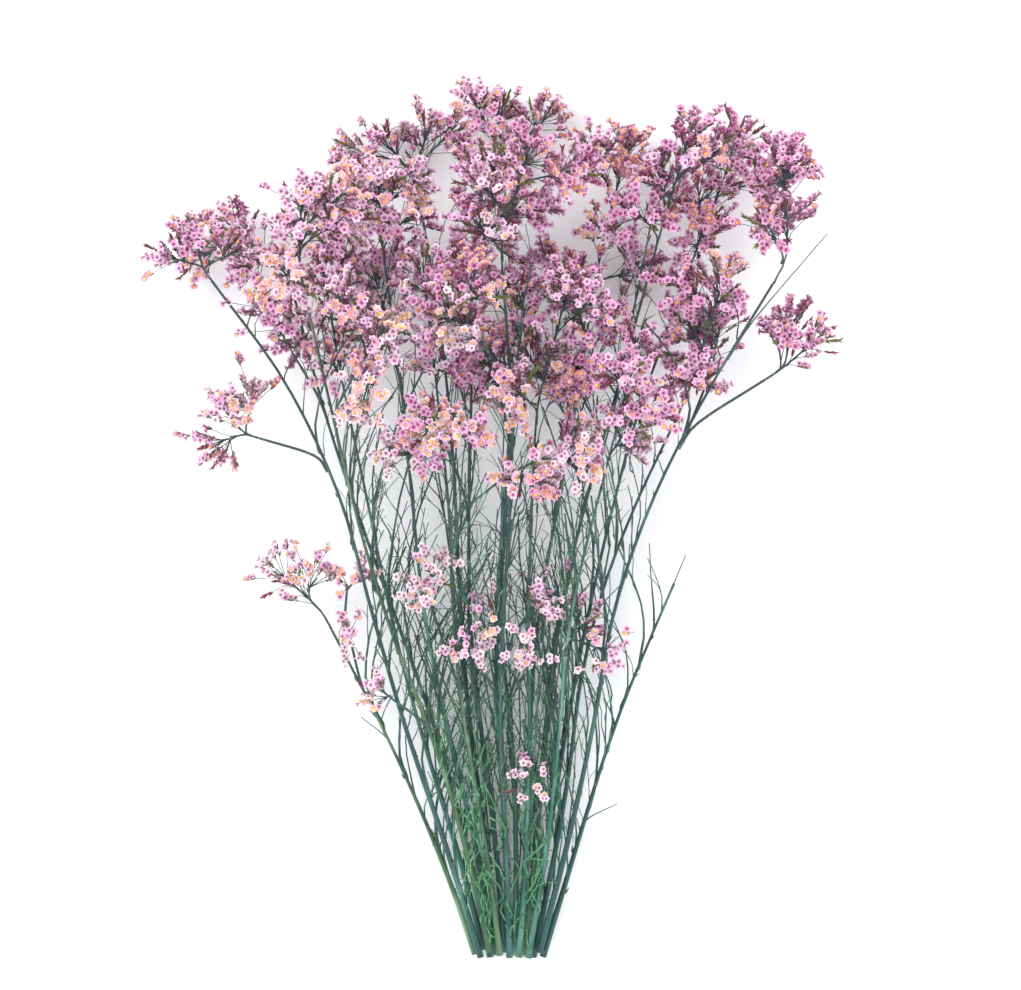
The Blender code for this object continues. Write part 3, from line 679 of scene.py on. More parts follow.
# Fine flowerless twigs: which part of a shoot they grow on, and their spacing, reach, radii and curl
FINE_TWIGS = {
    "over": (0.22, 0.97), "step": 34.0, "reach": (24.0, 78.0), "radii": (0.5, 0.95), "curl": 0.035,
    "finishes": (TWIG, TWIG, TWIG, BRIGHT),
}
BRANCH_TWIGS = {**FINE_TWIGS, "over": (0.2, 1.0), "step": 42.0, "finishes": (TWIG, TWIG, BRIGHT)}
CURLY_TWIGS = {
    "over": (0.02, 0.42), "step": 32.0, "reach": (14.0, 46.0), "radii": (0.5, 0.95), "curl": 0.09,
    "finishes": (BRIGHT, BRIGHT, TWIG),
}
FRONT_CURLS = {
    "over": (0.0, 0.32), "step": 14.0, "reach": (20.0, 58.0), "radii": (1.0, 1.8), "curl": 0.10,
    "finishes": (BRIGHT,), "front": True,
}
FRONT_CURLS_WITHIN = 0.6
FRONT_LIFT = 0.15
FINE_TWIG_ANGLE = (10.0, 36.0)
FINE_TWIG_LOWEST = 1.5
TWIG_THINS_TO = 0.45
FORKS = (0, 1, 1, 2)
FORKS_OVER = (0.35, 0.8)
FORK_ANGLE = (22, 50)
FORK_REACH = (0.3, 0.55)
FORK_LOWEST = 1.2

# Leaf scales
SCALES_OVER = (0.10, 0.98)
SCALE_STEP = 46.0
SCALE_STRAY = 0.6
SCALE_SIZE = 0.9
SCALE_SIZE_BY_RADIUS = 0.25

# The bark's colours: painted shade in the furrows, a tone that differs from stem to stem, and where it
# darkens along the bunch
PAINTED_FURROW_SHADE = (0.018, 0.052, 0.050)
SHADE = (0.024, 0.064, 0.058)
BARK_DARKENS = (-0.28, 0.12)
RIB_CONTRAST = 4.5
SHADE_CONTRAST = 1.8


class Number:
    """A number that varies over a surface: arithmetic on it adds Math nodes."""

    def __init__(self, finish, socket):
        self.finish = finish
        self.socket = socket

    def worked(self, operation, first, second):
        made = self.finish.node("Math", {0: first, 1: second}, operation=operation)
        return Number(self.finish, made.outputs[0])

    def __add__(self, other):
        return self.worked("ADD", self, other)

    def __sub__(self, other):
        return self.worked("SUBTRACT", self, other)

    def __rsub__(self, other):
        return self.worked("SUBTRACT", other, self)

    def __mul__(self, other):
        return self.worked("MULTIPLY", self, other)

    def __pow__(self, other):
        return self.worked("POWER", self, other)

    __radd__ = __add__
    __rmul__ = __mul__


class Finish:
    """A material with its nodes. A colour is three numbers or another node's output."""

    def __init__(self, name, **numbers):
        self.material = bpy.data.materials.new(name)
        self.material.use_nodes = True
        self.tree = self.material.node_tree
        self.shader = self.tree.nodes["Principled BSDF"]
        for socket, value in numbers.items():
            self.shader.inputs[socket.replace("_", " ")].default_value = value

    def node(self, kind, sockets, **settings):
        """Any node: its settings are set first, then its sockets, each to a value or a link."""
        made = self.tree.nodes.new("ShaderNode" + kind)
        for name, value in settings.items():
            setattr(made, name, value)
        for name, value in sockets.items():
            self.feed(made.inputs[name], value)
        return made

    def feed(self, socket, value):
        if isinstance(value, Number):
            value = value.socket
        if isinstance(value, bpy.types.NodeSocket):
            self.tree.links.new(value, socket)
        elif socket.type == "RGBA":
            socket.default_value = (*value, 1.0)
        else:
            socket.default_value = value

    def paint(self, socket, value):
        self.feed(self.shader.inputs[socket], value)

    def attribute(self, name):
        return Number(self, self.node("Attribute", {}, attribute_name=name).outputs["Fac"])

    def coordinate(self, kind, way):
        """One coordinate of the surface's points: kind is Object or UV, and way is X, Y or Z."""
        where = self.node("TexCoord", {}).outputs[kind]
        return Number(self, self.node("SeparateXYZ", {0: where}).outputs[way])

    def along_bunch(self, low, high):
        """0 at one place along the bunch and 1 at another, in metres."""
        made = self.node("MapRange", {0: self.coordinate("Object", "Y"), 1: low, 2: high})
        return Number(self, made.outputs[0])

    def noise_at(self, where, scale, detail):
        made = self.node("TexNoise", {"Vector": where, "Scale": scale, "Detail": detail})
        return Number(self, made.outputs["Fac"])

    def noise(self, scale, detail=2.0, stretch=(1.0, 1.0, 1.0)):
        where = self.node("TexCoord", {}).outputs["Object"]
        stretched = self.node("Mapping", {"Vector": where, "Scale": stretch}).outputs["Vector"]
        return self.noise_at(stretched, scale, detail)

    def stem_grain(self, around, lengthways, apart):
        """Noise drawn out along a stem: how fine it is round it, along it, and from stem to stem."""
        where = self.node("CombineXYZ", {
            0: self.coordinate("UV", "X") * around,
            1: self.coordinate("Object", "Y") * lengthways,
            2: self.coordinate("Object", "X") * apart,
        })
        return self.noise_at(where.outputs["Vector"], 1.0, 2.0)

    def ramp(self, number, stops):
        made = self.node("ValToRGB", {"Fac": number})
        while len(made.color_ramp.elements) < len(stops):
            made.color_ramp.elements.new(0.5)
        for stop, (place, colour) in zip(made.color_ramp.elements, stops):
            stop.position = place
            stop.color = (*colour, 1.0)
        return made.outputs["Color"]

    def mix(self, share, first, second):
        return self.node("Mix", {0: share, 6: first, 7: second}, data_type="RGBA").outputs[2]

    def bump(self, height, strength, distance):
        made = self.node("Bump", {"Height": height, "Strength": strength, "Distance": distance})
        self.paint("Normal", made.outputs["Normal"])


def calyx_paper():
    """Dry papery petals from near white to maroon, with painted shade darkening the throat and a painted
    lilac-white highlight streaked over the rim.
    """
    finish = Finish("calyx_paper", Sheen_Weight=0.2, Sheen_Roughness=0.5)
    tone = finish.attribute("tone") + (finish.noise(70.0) - 0.5) * 0.35
    paper = finish.ramp(tone, [
        (0.0, (0.95, 0.78, 0.80)),
        (0.18, (0.88, 0.58, 0.76)),
        (0.40, (0.84, 0.43, 0.68)),
        (0.60, (0.76, 0.25, 0.53)),
        (0.78, (0.58, 0.10, 0.34)),
        (1.0, (0.26, 0.02, 0.10)),
    ])
    rim = finish.attribute("rim")
    # painted shade: the throat and tube darkened towards maroon, away from the rim
    throat = finish.mix(0.75, paper, (0.20, 0.03, 0.12))
    paper_with_painted_throat_shade = finish.mix(rim ** 0.6, throat, paper)
    streaks = finish.noise(900.0, 1.0, (1.0, 0.4, 1.0))
    # painted highlight: near-white lilac streaked over the rims, along the paper's streaks
    painted_rim_highlight = finish.mix(finish.noise(260.0), (0.94, 0.80, 0.95), (0.95, 0.72, 0.80))
    finish.paint("Base Color", finish.mix(rim * streaks * 0.95, paper_with_painted_throat_shade, painted_rim_highlight))
    finish.paint("Roughness", 0.55 + streaks * 0.3)
    finish.bump(streaks, 0.35, 0.0004)
    return finish.material


def dry_tissue(name, spread, stops):
    """A small dry part of a floret, or a scale, its colour picked by its own tone."""
    finish = Finish(name)
    grain = finish.noise(600.0)
    tone = finish.attribute("tone") + (finish.noise(110.0) - 0.5) * spread
    finish.paint("Base Color", finish.mix(grain * 0.25, finish.ramp(tone, stops), stops[0][1]))
    finish.paint("Roughness", 0.5 + grain * 0.3)
    finish.bump(grain, 0.3, 0.0003)
    return finish.material


def green_bark(name, low_colour, high_colour, painted_highlight_colour, roughness):
    """Glossy bark with pale painted highlights along its ribs and painted shade in its furrows: deep
    green low down, darker among the flowers.
    """
    finish = Finish(name, Specular_IOR_Level=0.45)
    bark = finish.mix(finish.along_bunch(*BARK_DARKENS), low_colour, high_colour)
    ridges = finish.stem_grain(around=6.0, lengthways=7.0, apart=60.0)
    stem_tone = finish.stem_grain(around=0.5, lengthways=3.0, apart=25.0)
    # painted highlight: pale streaks along the ribs
    bark_with_painted_highlights = finish.mix((ridges - 0.52) * RIB_CONTRAST, bark, painted_highlight_colour)
    # painted shade: dark furrows between the ribs
    bark_with_painted_furrow_shade = finish.mix((0.50 - ridges) * RIB_CONTRAST, bark_with_painted_highlights, PAINTED_FURROW_SHADE)
    finish.paint("Base Color", finish.mix((stem_tone - 0.46) * SHADE_CONTRAST, bark_with_painted_furrow_shade, SHADE))
    finish.paint("Roughness", roughness + ridges * 0.25)
    finish.bump(ridges, 0.6, 0.0008)
    return finish.material


def cut_end():
    """Pale pith where a stem was cut."""
    finish = Finish("cut_end")
    finish.paint("Base Color", finish.mix(finish.noise(600.0), (0.30, 0.36, 0.20), (0.55, 0.55, 0.36)))
    finish.paint("Roughness", 0.7 + finish.noise(900.0) * 0.2)
    return finish.material


def edit(model, kind, chosen):
    """Opens a model for editing with only the chosen corners, edges or faces selected."""
    bpy.ops.object.mode_set(mode="OBJECT")
    for items in (model.data.vertices, model.data.edges, model.data.polygons):
        items.foreach_set("select", [False] * len(items))
    for item in getattr(model.data, kind):
        item.select = bool(chosen(item))
    modes = ("vertices", "edges", "polygons")
    bpy.context.tool_settings.mesh_select_mode = [kind == mode for mode in modes]
    bpy.ops.object.mode_set(mode="EDIT")


def width(point):
    return math.hypot(point[0], point[1])


class Shape:
    """A modelled shape: corners in millimetres, triangles, and how near its rim each corner is."""

    def __init__(self, model, rim_from, rim_to):
        bpy.ops.object.mode_set(mode="EDIT")
        bpy.ops.mesh.select_all(action="SELECT")
        bpy.ops.mesh.quads_convert_to_tris()
        bpy.ops.mesh.normals_make_consistent(inside=False)
        bpy.ops.object.mode_set(mode="OBJECT")
        mesh = model.data
        self.corners = np.array([v.co for v in mesh.vertices])
        self.faces = np.array([p.vertices[:] for p in mesh.polygons])
        self.rim = np.clip((self.corners[:, 2] - rim_from) / (rim_to - rim_from), 0.0, 1.0)
        bpy.data.objects.remove(model)


def new_cone(corners, low, high, depth, base):
    """A cone's stump, by its radii low and high, its height and where it stands."""
    bpy.ops.object.select_all(action="DESELECT")
    bpy.ops.mesh.primitive_cone_add(
        vertices=corners, radius1=low, radius2=high, depth=depth, location=(0, 0, base + depth / 2)
    )
    bpy.ops.object.transform_apply(location=True)
    return bpy.context.object


def model_calyx():
    """A papery calyx: a slim tube that flares into five lobes round its throat."""
    calyx = new_cone(5, low=0.35, high=0.95, depth=2.7, base=0.0)
    edit(calyx, "polygons", lambda face: face.center.z > 2.6)
    bpy.ops.mesh.extrude_region_move(TRANSFORM_OT_translate={"value": (0, 0, 1.9)})
    bpy.ops.transform.resize(value=(3.9, 3.9, 1.0))
    bpy.ops.mesh.inset(thickness=2.15, depth=0.0)
    bpy.ops.transform.translate(value=(0, 0, -1.6))
    edit(calyx, "edges", lambda edge: min(width(calyx.data.vertices[v].co) for v in edge.vertices) > 3)
    bpy.ops.mesh.subdivide(number_cuts=1)
    edit(calyx, "vertices", lambda corner: 2.7 < width(corner.co) < 3.3)
    bpy.ops.transform.resize(value=(0.93, 0.93, 1.0))
    bpy.ops.transform.translate(value=(0, 0, -0.55))
    return Shape(calyx, rim_from=3.0, rim_to=4.3)


def model_bud():
    """A shut bud or spent corolla in a calyx's throat."""
    return Shape(new_cone(3, low=0.85, high=0.25, depth=2.0, base=2.5), rim_from=2.5, rim_to=4.5)


def model_corolla():
    """A small open corolla that shows in a calyx."""
    corolla = new_cone(5, low=0.5, high=1.7, depth=1.7, base=2.9)
    edit(corolla, "polygons", lambda face: face.center.z > 4.5)
    bpy.ops.mesh.inset(thickness=0.9, depth=0.0)
    bpy.ops.transform.translate(value=(0, 0, -0.7))
    return Shape(corolla, rim_from=3.2, rim_to=4.6)


def model_bract():
    """A boat-shaped scale that hugs a shoot and turns out at its tip."""
    bract = new_cone(3, low=1.05, high=0.12, depth=3.6, base=0.0)
    edit(bract, "vertices", lambda corner: True)
    bpy.ops.transform.resize(value=(1.0, 0.45, 1.0))
    edit(bract, "vertices", lambda corner: corner.co.z > 3.0)
    bpy.ops.transform.translate(value=(0, 0.7, 0))
    return Shape(bract, rim_from=0.0, rim_to=3.6)


def put_in_scene(name, data):
    made = bpy.data.objects.new(name, data)
    bpy.context.scene.collection.objects.link(made)
    return made


class Gathered:
    """Copies of modelled shapes, each set out with its own corners, gathered into one piece."""

    def __init__(self):
        self.corners = []
        self.faces = []
        self.finishes = []
        self.tones = []
        self.rims = []
        self.count = 0

    def add(self, shape, root, heading, size, roll, finish, tone):
        turn = Vector(heading).to_track_quat("Z", "Y").to_matrix() @ Matrix.Rotation(roll, 3, "Z")
        corners = shape.corners @ np.array(turn).T * size + root
        self.corners.append(corners)
        self.faces.append(shape.faces + self.count)
        self.finishes.append(np.full(len(shape.faces), finish))
        self.tones.append(np.full(len(corners), tone))
        self.rims.append(shape.rim)
        self.count += len(corners)

    def piece(self, name, materials):
        mesh = bpy.data.meshes.new(name)
        corners = on_table(np.vstack(self.corners))
        mesh.from_pydata(corners.tolist(), [], np.vstack(self.faces).tolist())
        mesh.polygons.foreach_set("material_index", np.concatenate(self.finishes).astype(int))
        for label, values in (("tone", self.tones), ("rim", self.rims)):
            made = mesh.attributes.new(label, "FLOAT", "POINT")
            made.data.foreach_set("value", np.concatenate(values).astype(np.float32))
        for finish in materials:
            mesh.materials.append(finish)
        return put_in_scene(name, mesh)


def on_table(corners):
    """Corners in millimetres of the growth as metres of the part, none below the table."""
    placed = (corners + ORIGIN_SHIFT) * MM
    placed[:, 2] = np.maximum(placed[:, 2], TABLE_TOP)
    return placed


def smooth(path, count):
    """A rounded path through the same points."""
    path = [np.array(point, float) for point in path]
    ends = [2 * path[0] - path[1], *path, 2 * path[-1] - path[-2]]
    points = []
    spans = len(path) - 1
    for place in np.linspace(0.0, spans, count):
        span = min(int(place), spans - 1)
        s = place - span
        a, b, c, d = ends[span: span + 4]
        points.append(0.5 * (
            2 * b + (c - a) * s + (2 * a - 5 * b + 4 * c - d) * s * s + (3 * b - a - 3 * c + d) * s ** 3
        ))
    return points


class Shoots:
    """Shoots gathered as the lines of one curve, which becomes one mesh of tapered rods."""

    def __init__(self):
        self.lines = []

    def add(self, path, thick, thin, finish):
        self.lines.append((path, thick, thin, finish))

    def piece(self, name, materials, roundness):
        curve = bpy.data.curves.new(name, "CURVE")
        curve.dimensions = "3D"
        curve.bevel_depth = MM
        curve.bevel_resolution = roundness
        curve.use_fill_caps = True
        for finish in materials:
            curve.materials.append(finish)
        for path, thick, thin, finish in self.lines:
            line = curve.splines.new("POLY")
            line.points.add(len(path) - 1)
            line.material_index = finish
            line.use_smooth = True
            radii = taper(thick, thin, np.linspace(0.0, 1.0, len(path)))
            for point, where, radius in zip(line.points, path, radii):
                point.co = (*((where + ORIGIN_SHIFT) * MM), 1.0)
                point.radius = radius
        made = put_in_scene(name, curve)
        bpy.ops.object.select_all(action="DESELECT")
        made.select_set(True)
        bpy.context.view_layer.objects.active = made
        bpy.ops.object.convert(target="MESH")
        made = bpy.context.object
        bpy.ops.object.mode_set(mode="EDIT")
        bpy.ops.mesh.select_all(action="SELECT")
        bpy.ops.mesh.remove_doubles(threshold=0.002 * MM)
        bpy.ops.mesh.normals_make_consistent(inside=False)
        bpy.ops.object.mode_set(mode="OBJECT")
        corners = np.zeros(len(made.data.vertices) * 3)
        made.data.vertices.foreach_get("co", corners)
        corners[2::3] = np.maximum(corners[2::3], TABLE_TOP)
        made.data.vertices.foreach_set("co", corners)
        return made


def square_to(heading, direction):
    """The unit part of a direction that is square to a heading."""
    return unit(direction - heading * (direction @ heading))


def path_length(path):
    return sum(np.linalg.norm(b - a) for a, b in zip(path, path[1:]))


def share_between(value, limits):
    """How far a value is from the first limit to the second, from 0 to 1."""
    return min(max((value - limits[0]) / (limits[1] - limits[0]), 0.0), 1.0)


def how_many(path, over, step):
    """How many things go on a path between two shares, a step apart."""
    return int(path_length(path) * (over[1] - over[0]) / step)


def strewn(over, number, count, stray=1.0):
    """The share of one of count things strewn between two shares, each at random in its own part."""
    return over[0] + (over[1] - over[0]) * (number + looks.random() * stray) / count


def within(limits):
    return looks.uniform(*limits)


def any_turn():
    return looks.uniform(0, 360)


def any_roll():
    return looks.uniform(0, math.tau)


def any_tone(middle=0.5, spread=0.5):
    return min(max(middle + looks.uniform(-spread, spread), 0.0), 1.0)


def head_mood(root):
    """A head's tone, and its share of yellow florets, by where it is in the bunch."""
    rightwards = share_between(root[0], MAGENTA_TO_RIGHT)
    height = share_between(root[1], PALE_BELOW)
    middle = (0.28 + 0.24 * rightwards) * height + 0.06 * (1 - height)
    tone = middle + looks.gauss(0, HEAD_TONE_SPREAD)
    in_flower = looks.random() < YELLOW_LEFT + (YELLOW_RIGHT - YELLOW_LEFT) * rightwards
    return tone, looks.uniform(0.5, 0.95) if in_flower else looks.uniform(0.0, 0.2)


def add_shut_spike(flowers, path, count, toward, size):
    """A spike that isn't in flower yet: bracts that overlap all round it, olive or maroon."""
    tone = looks.choice(SHUT_TONES)
    length = path_length(path)
    for number in range(count):
        share = max(1.0 - number * SHUT_STEP * size / length, PATH_ENDS[0])
        root, heading = along(path, min(share, PATH_ENDS[1]))
        upper = square_to(heading, toward)
        roll = math.radians(GOLDEN_ANGLE) * number
        outwards = upper * math.cos(roll) + np.cross(heading, upper) * math.sin(roll)
        outer = unit(heading * 1.6 + outwards * 0.7)
        scale = size * SHUT_BRACT_SIZE
        flowers.add(bract_shape, root, outer, scale, any_roll(), BRACT, any_tone(tone, 0.2))


def add_spike(flowers, twigs, path, count, toward, size, mood):
    """A short spike: a curved rod with florets in two rows on its upper side and bracts below."""
    tone, yellow = mood
    twigs.add(path, *SPIKE_RADII, TWIG)
    if looks.random() < SHUT_SPIKES and tone > 0.2:
        add_shut_spike(flowers, path, count + SHUT_BRACTS_MORE, toward, size)
        return
    length = path_length(path)
    for number in range(count):
        share = 1.0 - number * FLORET_STEP * size / length
        if share < 0.05:
            break
        root, heading = along(path, min(share, PATH_ENDS[1]))
        upper = square_to(heading, toward + np.array([0.0, 0.0, FACE_UP]))
        side = np.cross(heading, upper) * (1 if number % 2 else -1)
        lift = within(FLORET_UP) if number else TIP_FLORET_UP
        axis = unit(heading * FLORET_ONWARD + upper * lift + side * within(FLORET_ASIDE))
        scale = size * within(FLORET_SIZE)
        own_tone = tone + looks.uniform(-TONE_STRAY, TONE_STRAY)
        if number == 0:
            own_tone += TONE_STRAY * looks.random()
        own_tone = min(max(own_tone, 0), 1)
        flowers.add(calyx_shape, root, axis, scale, any_roll(), CALYX, own_tone)
        is_open = looks.random() < yellow
        inner, finish = (corolla_shape, COROLLA) if is_open else (bud_shape, BUD)
        flowers.add(inner, root, axis, scale, any_roll(), finish, any_tone())
        down = upper * within(BRACT_DOWN)
        outer = unit(heading * BRACT_ONWARD - down + side * within(BRACT_ASIDE))
        bract_tone = any_tone(0.2 + 0.9 * tone, 0.4)
        below = root - heading * 0.8 - upper * 0.3
        flowers.add(bract_shape, below, outer, scale * BRACT_SIZE, any_roll(), BRACT, bract_tone)


def add_head(flowers, twigs, root, heading, size):
    """A flat-topped head: a stalk that parts into spikes, which open towards its middle."""
    flat, up = side_vectors(heading)
    mood = head_mood(root)
    low = root[1] < LOW_HEADS_BELOW
    spikes = looks.randint(*(LOW_SPIKES if low else SPIKES))
    florets = LOW_FLORETS if low else FLORETS_A_SPIKE
    turn = any_turn()
    height = FLORET_LENGTH * size
    for number in range(spikes):
        stray = looks.uniform(-SPIKE_ROLL_STRAY, SPIKE_ROLL_STRAY)
        roll = math.radians(turn + 360 * number / spikes + stray)
        spread = SPIKE_SPREAD * size * (within(OUTER_SPREAD) if number else MIDDLE_SPREAD)
        outwards = flat * math.cos(roll) + up * math.sin(roll)
        tip = root + heading * height * within(HEAD_HEIGHT) + outwards * spread
        parting = height - SPIKE_BACK - spread * within(SPIKE_BACK_STRAY)
        start = root + heading * max(1.0, parting)
        path = arc(start, heading + outwards * 0.5, tip, 4)
        toward = heading - outwards * 0.6 if number else outwards
        add_spike(flowers, twigs, path, looks.randint(*florets), toward, size ** 0.5, mood)
    twigs.add([root - heading * ROOT_DEPTH, root + heading * height * 0.5], *STALK_RADII, TWIG)


def add_side_spikes(flowers, twigs, path):
    """Short spikes that leave a twig on alternate sides."""
    count = how_many(path, SIDE_SPIKES_OVER, SIDE_SPIKE_STEP)
    first_roll = any_turn()
    mood = head_mood(path[-1])
    for number in range(count):
        share = strewn(SIDE_SPIKES_OVER, number, count + 0.5)
        start, heading = along(path, min(share, 0.98))
        roll = first_roll + GOLDEN_ANGLE * number
        aside = turned(heading, within(SIDE_SPIKE_ANGLE), roll)
        reach = within(SIDE_SPIKE_REACH)
        spike = arc(start, heading, start + aside * reach, 3)
        florets = looks.randint(*SIDE_SPIKE_FLORETS)
        add_spike(flowers, twigs, spike, florets, heading, SIDE_SPIKE_SIZE, mood)


def wavy(path, amount):
    """A path with its inner points strayed a little."""
    strayed = [path[0]]
    for point in path[1:]:
        strayed.append(point + np.array([looks.uniform(-1, 1) for _ in range(3)]) * amount)
    return smooth(strayed, len(path) + 2)


def lifted(point, lowest):
    return np.array([point[0], point[1], max(point[2], lowest)])


def side_shoot(heading, angles, place_across):
    """A side shoot's direction, which turns back into the bunch near the fan's edge."""
    aside = turned(heading, within(angles), any_turn())
    if abs(place_across) > INWARDS_FROM and aside[0] * place_across > 0:
        return aside * np.array([-0.5, 1.0, 1.0])
    return aside


def add_long_branches(shoots, path, place_across):
    """Side branches nearly as long as the stem's upper part, which run on beside it and fork."""
    for number in range(LONG_BRANCHES):
        start, heading = along(path, strewn(LONG_BRANCHES_OVER, number, LONG_BRANCHES))
        aside = side_shoot(heading, LONG_BRANCH_ANGLE, place_across)
        reach = within(LONG_BRANCH_REACH)
        end = lifted(start + unit(aside) * reach, LONG_BRANCH_LOWEST)
        radius = within(LONG_BRANCH_RADIUS)
        branch = wavy(arc(start, heading, end, 8), reach * LONG_BRANCH_WAVE)
        shoots.add(branch, radius, radius * TWIG_THINS_TO, looks.choice((STEM, TWIG, TWIG)))
        add_fine_twigs(shoots, branch, place_across, **BRANCH_TWIGS)


def add_fine_twigs(shoots, path, place_across, over, step, reach, radii, curl, finishes, front=False):
    """Flowerless twigs along a shoot, each bent upwards and most of them forked."""
    count = how_many(path, over, step)
    for number in range(count):
        start, heading = along(path, min(strewn(over, number, count), 0.99))
        aside = side_shoot(heading, FINE_TWIG_ANGLE, place_across)
        if front:
            aside = unit(np.array([aside[0], aside[1], abs(aside[2]) + FRONT_LIFT]))
        far = within(reach)
        end = lifted(start + aside * far, FINE_TWIG_LOWEST)
        radius = within(radii)
        finish = looks.choice(finishes)
        twig = wavy(arc(start, heading + aside * 0.8, end, 5), far * curl)
        shoots.add(twig, radius, radius * TWIG_THINS_TO, finish)
        for _ in range(looks.choice(FORKS)):
            fork, onward = along(twig, within(FORKS_OVER))
            bent = turned(onward, within(FORK_ANGLE), any_turn())
            fork_end = lifted(fork + bent * far * within(FORK_REACH), FORK_LOWEST)
            shoots.add(arc(fork, onward, fork_end, 4), radius * 0.6, radius * 0.35, finish)


def add_scales(scales, path):
    """Pointed scales that hug a stem, the real one's reduced leaves."""
    count = max(1, how_many(path, SCALES_OVER, SCALE_STEP))
    for number in range(count):
        share = strewn(SCALES_OVER, number, count, SCALE_STRAY)
        where, heading = along(path, min(share, 0.99))
        radius = taper(FOOT_RADIUS, STEM_TIP_RADIUS, share)
        aside = turned(heading, 90, any_turn())
        root = where + aside * radius * 0.75
        outer = unit(heading + aside * 0.2)
        size = SCALE_SIZE + SCALE_SIZE_BY_RADIUS * radius
        scales.add(bract_shape, root, outer, size, any_roll(), 0, looks.random())


def mark_cut_end(stalk, foot):
    """Gives the flat end of a stem's foot its pale pith."""
    foot_line = (foot[1] + ORIGIN_SHIFT[1] + 0.5) * MM
    for face in stalk.data.polygons:
        if face.center.y < foot_line and face.normal.y < -0.9:
            face.material_index = PITH


def replace_node(piece, node):
    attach(piece, "root")
    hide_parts(node)


def build_stem(node):
    """A stem with its branches and fine twigs, and its scales."""
    shoots = Shoots()
    fine = Shoots()
    scales = Gathered()
    place_across, _ = fan_place(node[5:])
    bark = looks.choice((STEM, STEM, DEEP, OLIVE))
    (path, thick, thin), *branches = bunch.shoots[node]
    rod = smooth(path, STEM_POINTS)
    shoots.add(rod, thick * STALK_SHARES[0], thin * STALK_SHARES[1], bark)
    for path, thick, thin in branches:
        branch = smooth(path, SHOOT_POINTS)
        shoots.add(branch, thick * BRANCH_SHARES[0], thin * BRANCH_SHARES[1], TWIG)
    add_long_branches(fine, rod, place_across)
    add_fine_twigs(fine, rod, place_across, **CURLY_TWIGS)
    if node.startswith("stem_top") and abs(place_across) < FRONT_CURLS_WITHIN:
        add_fine_twigs(fine, rod, place_across, **FRONT_CURLS)
    add_fine_twigs(fine, rod, place_across, **FINE_TWIGS)
    stalk = shoots.piece(f"stalk_{node[5:]}", wood_finishes, 2)
    mark_cut_end(stalk, rod[0])
    replace_node(stalk, node)
    replace_node(fine.piece(f"branches_{node[5:]}", wood_finishes, 0), node)
    add_scales(scales, rod)
    replace_node(scales.piece(f"scales_{node[5:]}", [scale_brown]), node)


def build_spray(node):
    """A spray's green twigs, and its heads of florets."""
    shoots = Shoots()
    flowers = Gathered()
    for path, thick, thin in bunch.shoots[node]:
        rounded = smooth(path, SHOOT_POINTS)
        shoots.add(rounded, thick * SPRAY_SHARES[0], thin * SPRAY_SHARES[1], TWIG)
        add_side_spikes(flowers, shoots, rounded)
    for root, heading, size in bunch.florets[node]:
        add_head(flowers, shoots, root, heading, size)
    replace_node(shoots.piece(f"twigs_{node[-2:]}", wood_finishes, 0), node)
    replace_node(flowers.piece(f"flowers_{node[-2:]}", flower_finishes), node)


bunch = Bunch()
looks = random.Random(LOOKS_SEED)

calyx_shape = model_calyx()
bud_shape = model_bud()
corolla_shape = model_corolla()
bract_shape = model_bract()

flower_finishes = [
    calyx_paper(),
    dry_tissue("bud_maroon", 0.4, [
        (0.0, (0.36, 0.07, 0.22)),
        (0.4, (0.17, 0.02, 0.09)),
        (0.8, (0.08, 0.01, 0.06)),
        (1.0, (0.22, 0.01, 0.04)),
    ]),
    dry_tissue("corolla_yellow", 0.4, [
        (0.0, (0.93, 0.62, 0.34)),
        (0.35, (0.93, 0.45, 0.10)),
        (0.7, (0.86, 0.52, 0.07)),
        (1.0, (0.80, 0.24, 0.12)),
    ]),
    dry_tissue("bract_olive", 0.5, [
        (0.0, (0.17, 0.20, 0.04)),
        (0.3, (0.09, 0.09, 0.025)),
        (0.6, (0.11, 0.03, 0.03)),
        (0.8, (0.17, 0.01, 0.05)),
        (1.0, (0.34, 0.03, 0.15)),
    ]),
]
scale_brown = dry_tissue("scale_brown", 0.5, [
    (0.0, (0.10, 0.16, 0.07)),
    (0.6, (0.09, 0.09, 0.05)),
    (1.0, (0.17, 0.10, 0.06)),
])
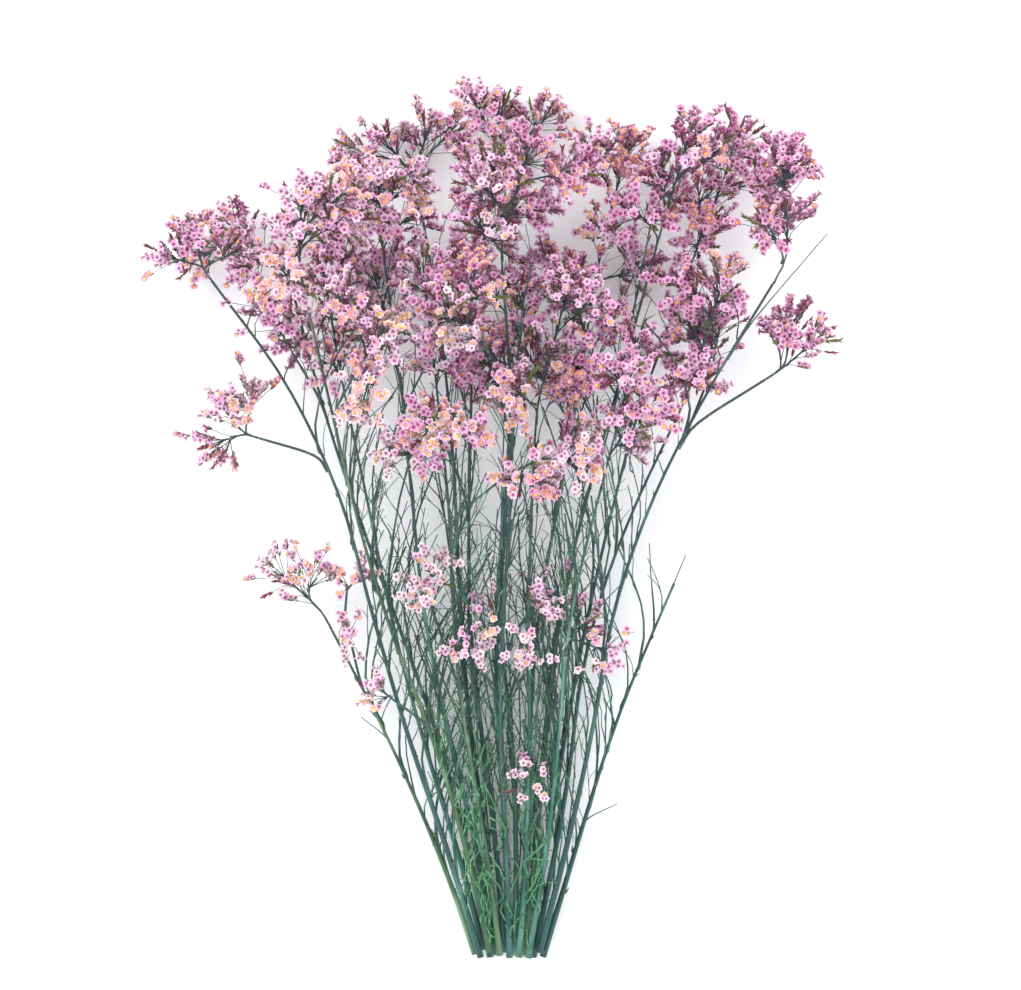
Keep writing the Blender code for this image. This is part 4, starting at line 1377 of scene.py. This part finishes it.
# each bark's third colour is the pale painted highlight along its ribs
wood_finishes = [
    green_bark("stem_green", (0.028, 0.150, 0.112), (0.048, 0.090, 0.085), (0.170, 0.390, 0.310), 0.30),
    green_bark("twig_green", (0.038, 0.120, 0.092), (0.048, 0.066, 0.066), (0.120, 0.230, 0.180), 0.42),
    green_bark("twig_bright", (0.085, 0.290, 0.125), (0.055, 0.135, 0.070), (0.240, 0.510, 0.300), 0.40),
    green_bark("stem_olive", (0.068, 0.160, 0.072), (0.060, 0.088, 0.058), (0.230, 0.370, 0.220), 0.32),
    green_bark("stem_deep", (0.018, 0.085, 0.080), (0.032, 0.062, 0.066), (0.090, 0.220, 0.195), 0.30),
    cut_end(),
]

for node in bunch.numbers:
    if node.startswith("stem"):
        build_stem(node)
    else:
        build_spray(node)

# The studio: a plain pale floor, soft lights and a camera that looks straight down
MIDDLE = Vector((0.0141, 0.0201, 0.1))
PHOTO_WIDTH = 0.8035
CAMERA_HEIGHT = 12.0
CAMERA_SEES_TO = 30.0
FLOOR_SIDE = 8.0
FLOOR_COLOUR = (0.97, 0.975, 0.98)
SKY_COLOUR = (0.97, 0.985, 1.0, 1.0)
SKY_STRENGTH = 1.38
LIGHTS = (
    {"name": "key_light", "where": (-1.4, 1.3, 2.6), "side": 1.6, "watts": 34.0},
    {"name": "fill_light", "where": (1.9, -0.6, 2.2), "side": 2.0, "watts": 9.0},
)

bpy.ops.object.select_all(action="DESELECT")
bpy.ops.mesh.primitive_plane_add(size=FLOOR_SIDE, location=(0, 0, 0))
floor = bpy.context.object
floor.name = "floor"
pale = Finish("pale_floor", Roughness=0.9)
pale.paint("Base Color", FLOOR_COLOUR)
floor.data.materials.append(pale.material)

camera_data = bpy.data.cameras.new("camera")
camera_data.sensor_width = 36.0
camera_data.lens = camera_data.sensor_width * CAMERA_HEIGHT / PHOTO_WIDTH
camera_data.clip_end = CAMERA_SEES_TO
camera = put_in_scene("camera", camera_data)
camera.location = MIDDLE + Vector((0, 0, CAMERA_HEIGHT))
bpy.context.scene.camera = camera
bpy.context.scene.view_settings.view_transform = "Standard"

for row in LIGHTS:
    light = bpy.data.lights.new(row["name"], "AREA")
    light.size = row["side"]
    light.energy = row["watts"]
    lamp = put_in_scene(row["name"], light)
    lamp.location = row["where"]
    lamp.rotation_euler = (MIDDLE - Vector(row["where"])).to_track_quat("-Z", "Y").to_euler()

world = bpy.data.worlds.new("soft_room")
world.use_nodes = True
sky = world.node_tree.nodes["Background"]
sky.inputs["Color"].default_value = SKY_COLOUR
sky.inputs["Strength"].default_value = SKY_STRENGTH
bpy.context.scene.world = world
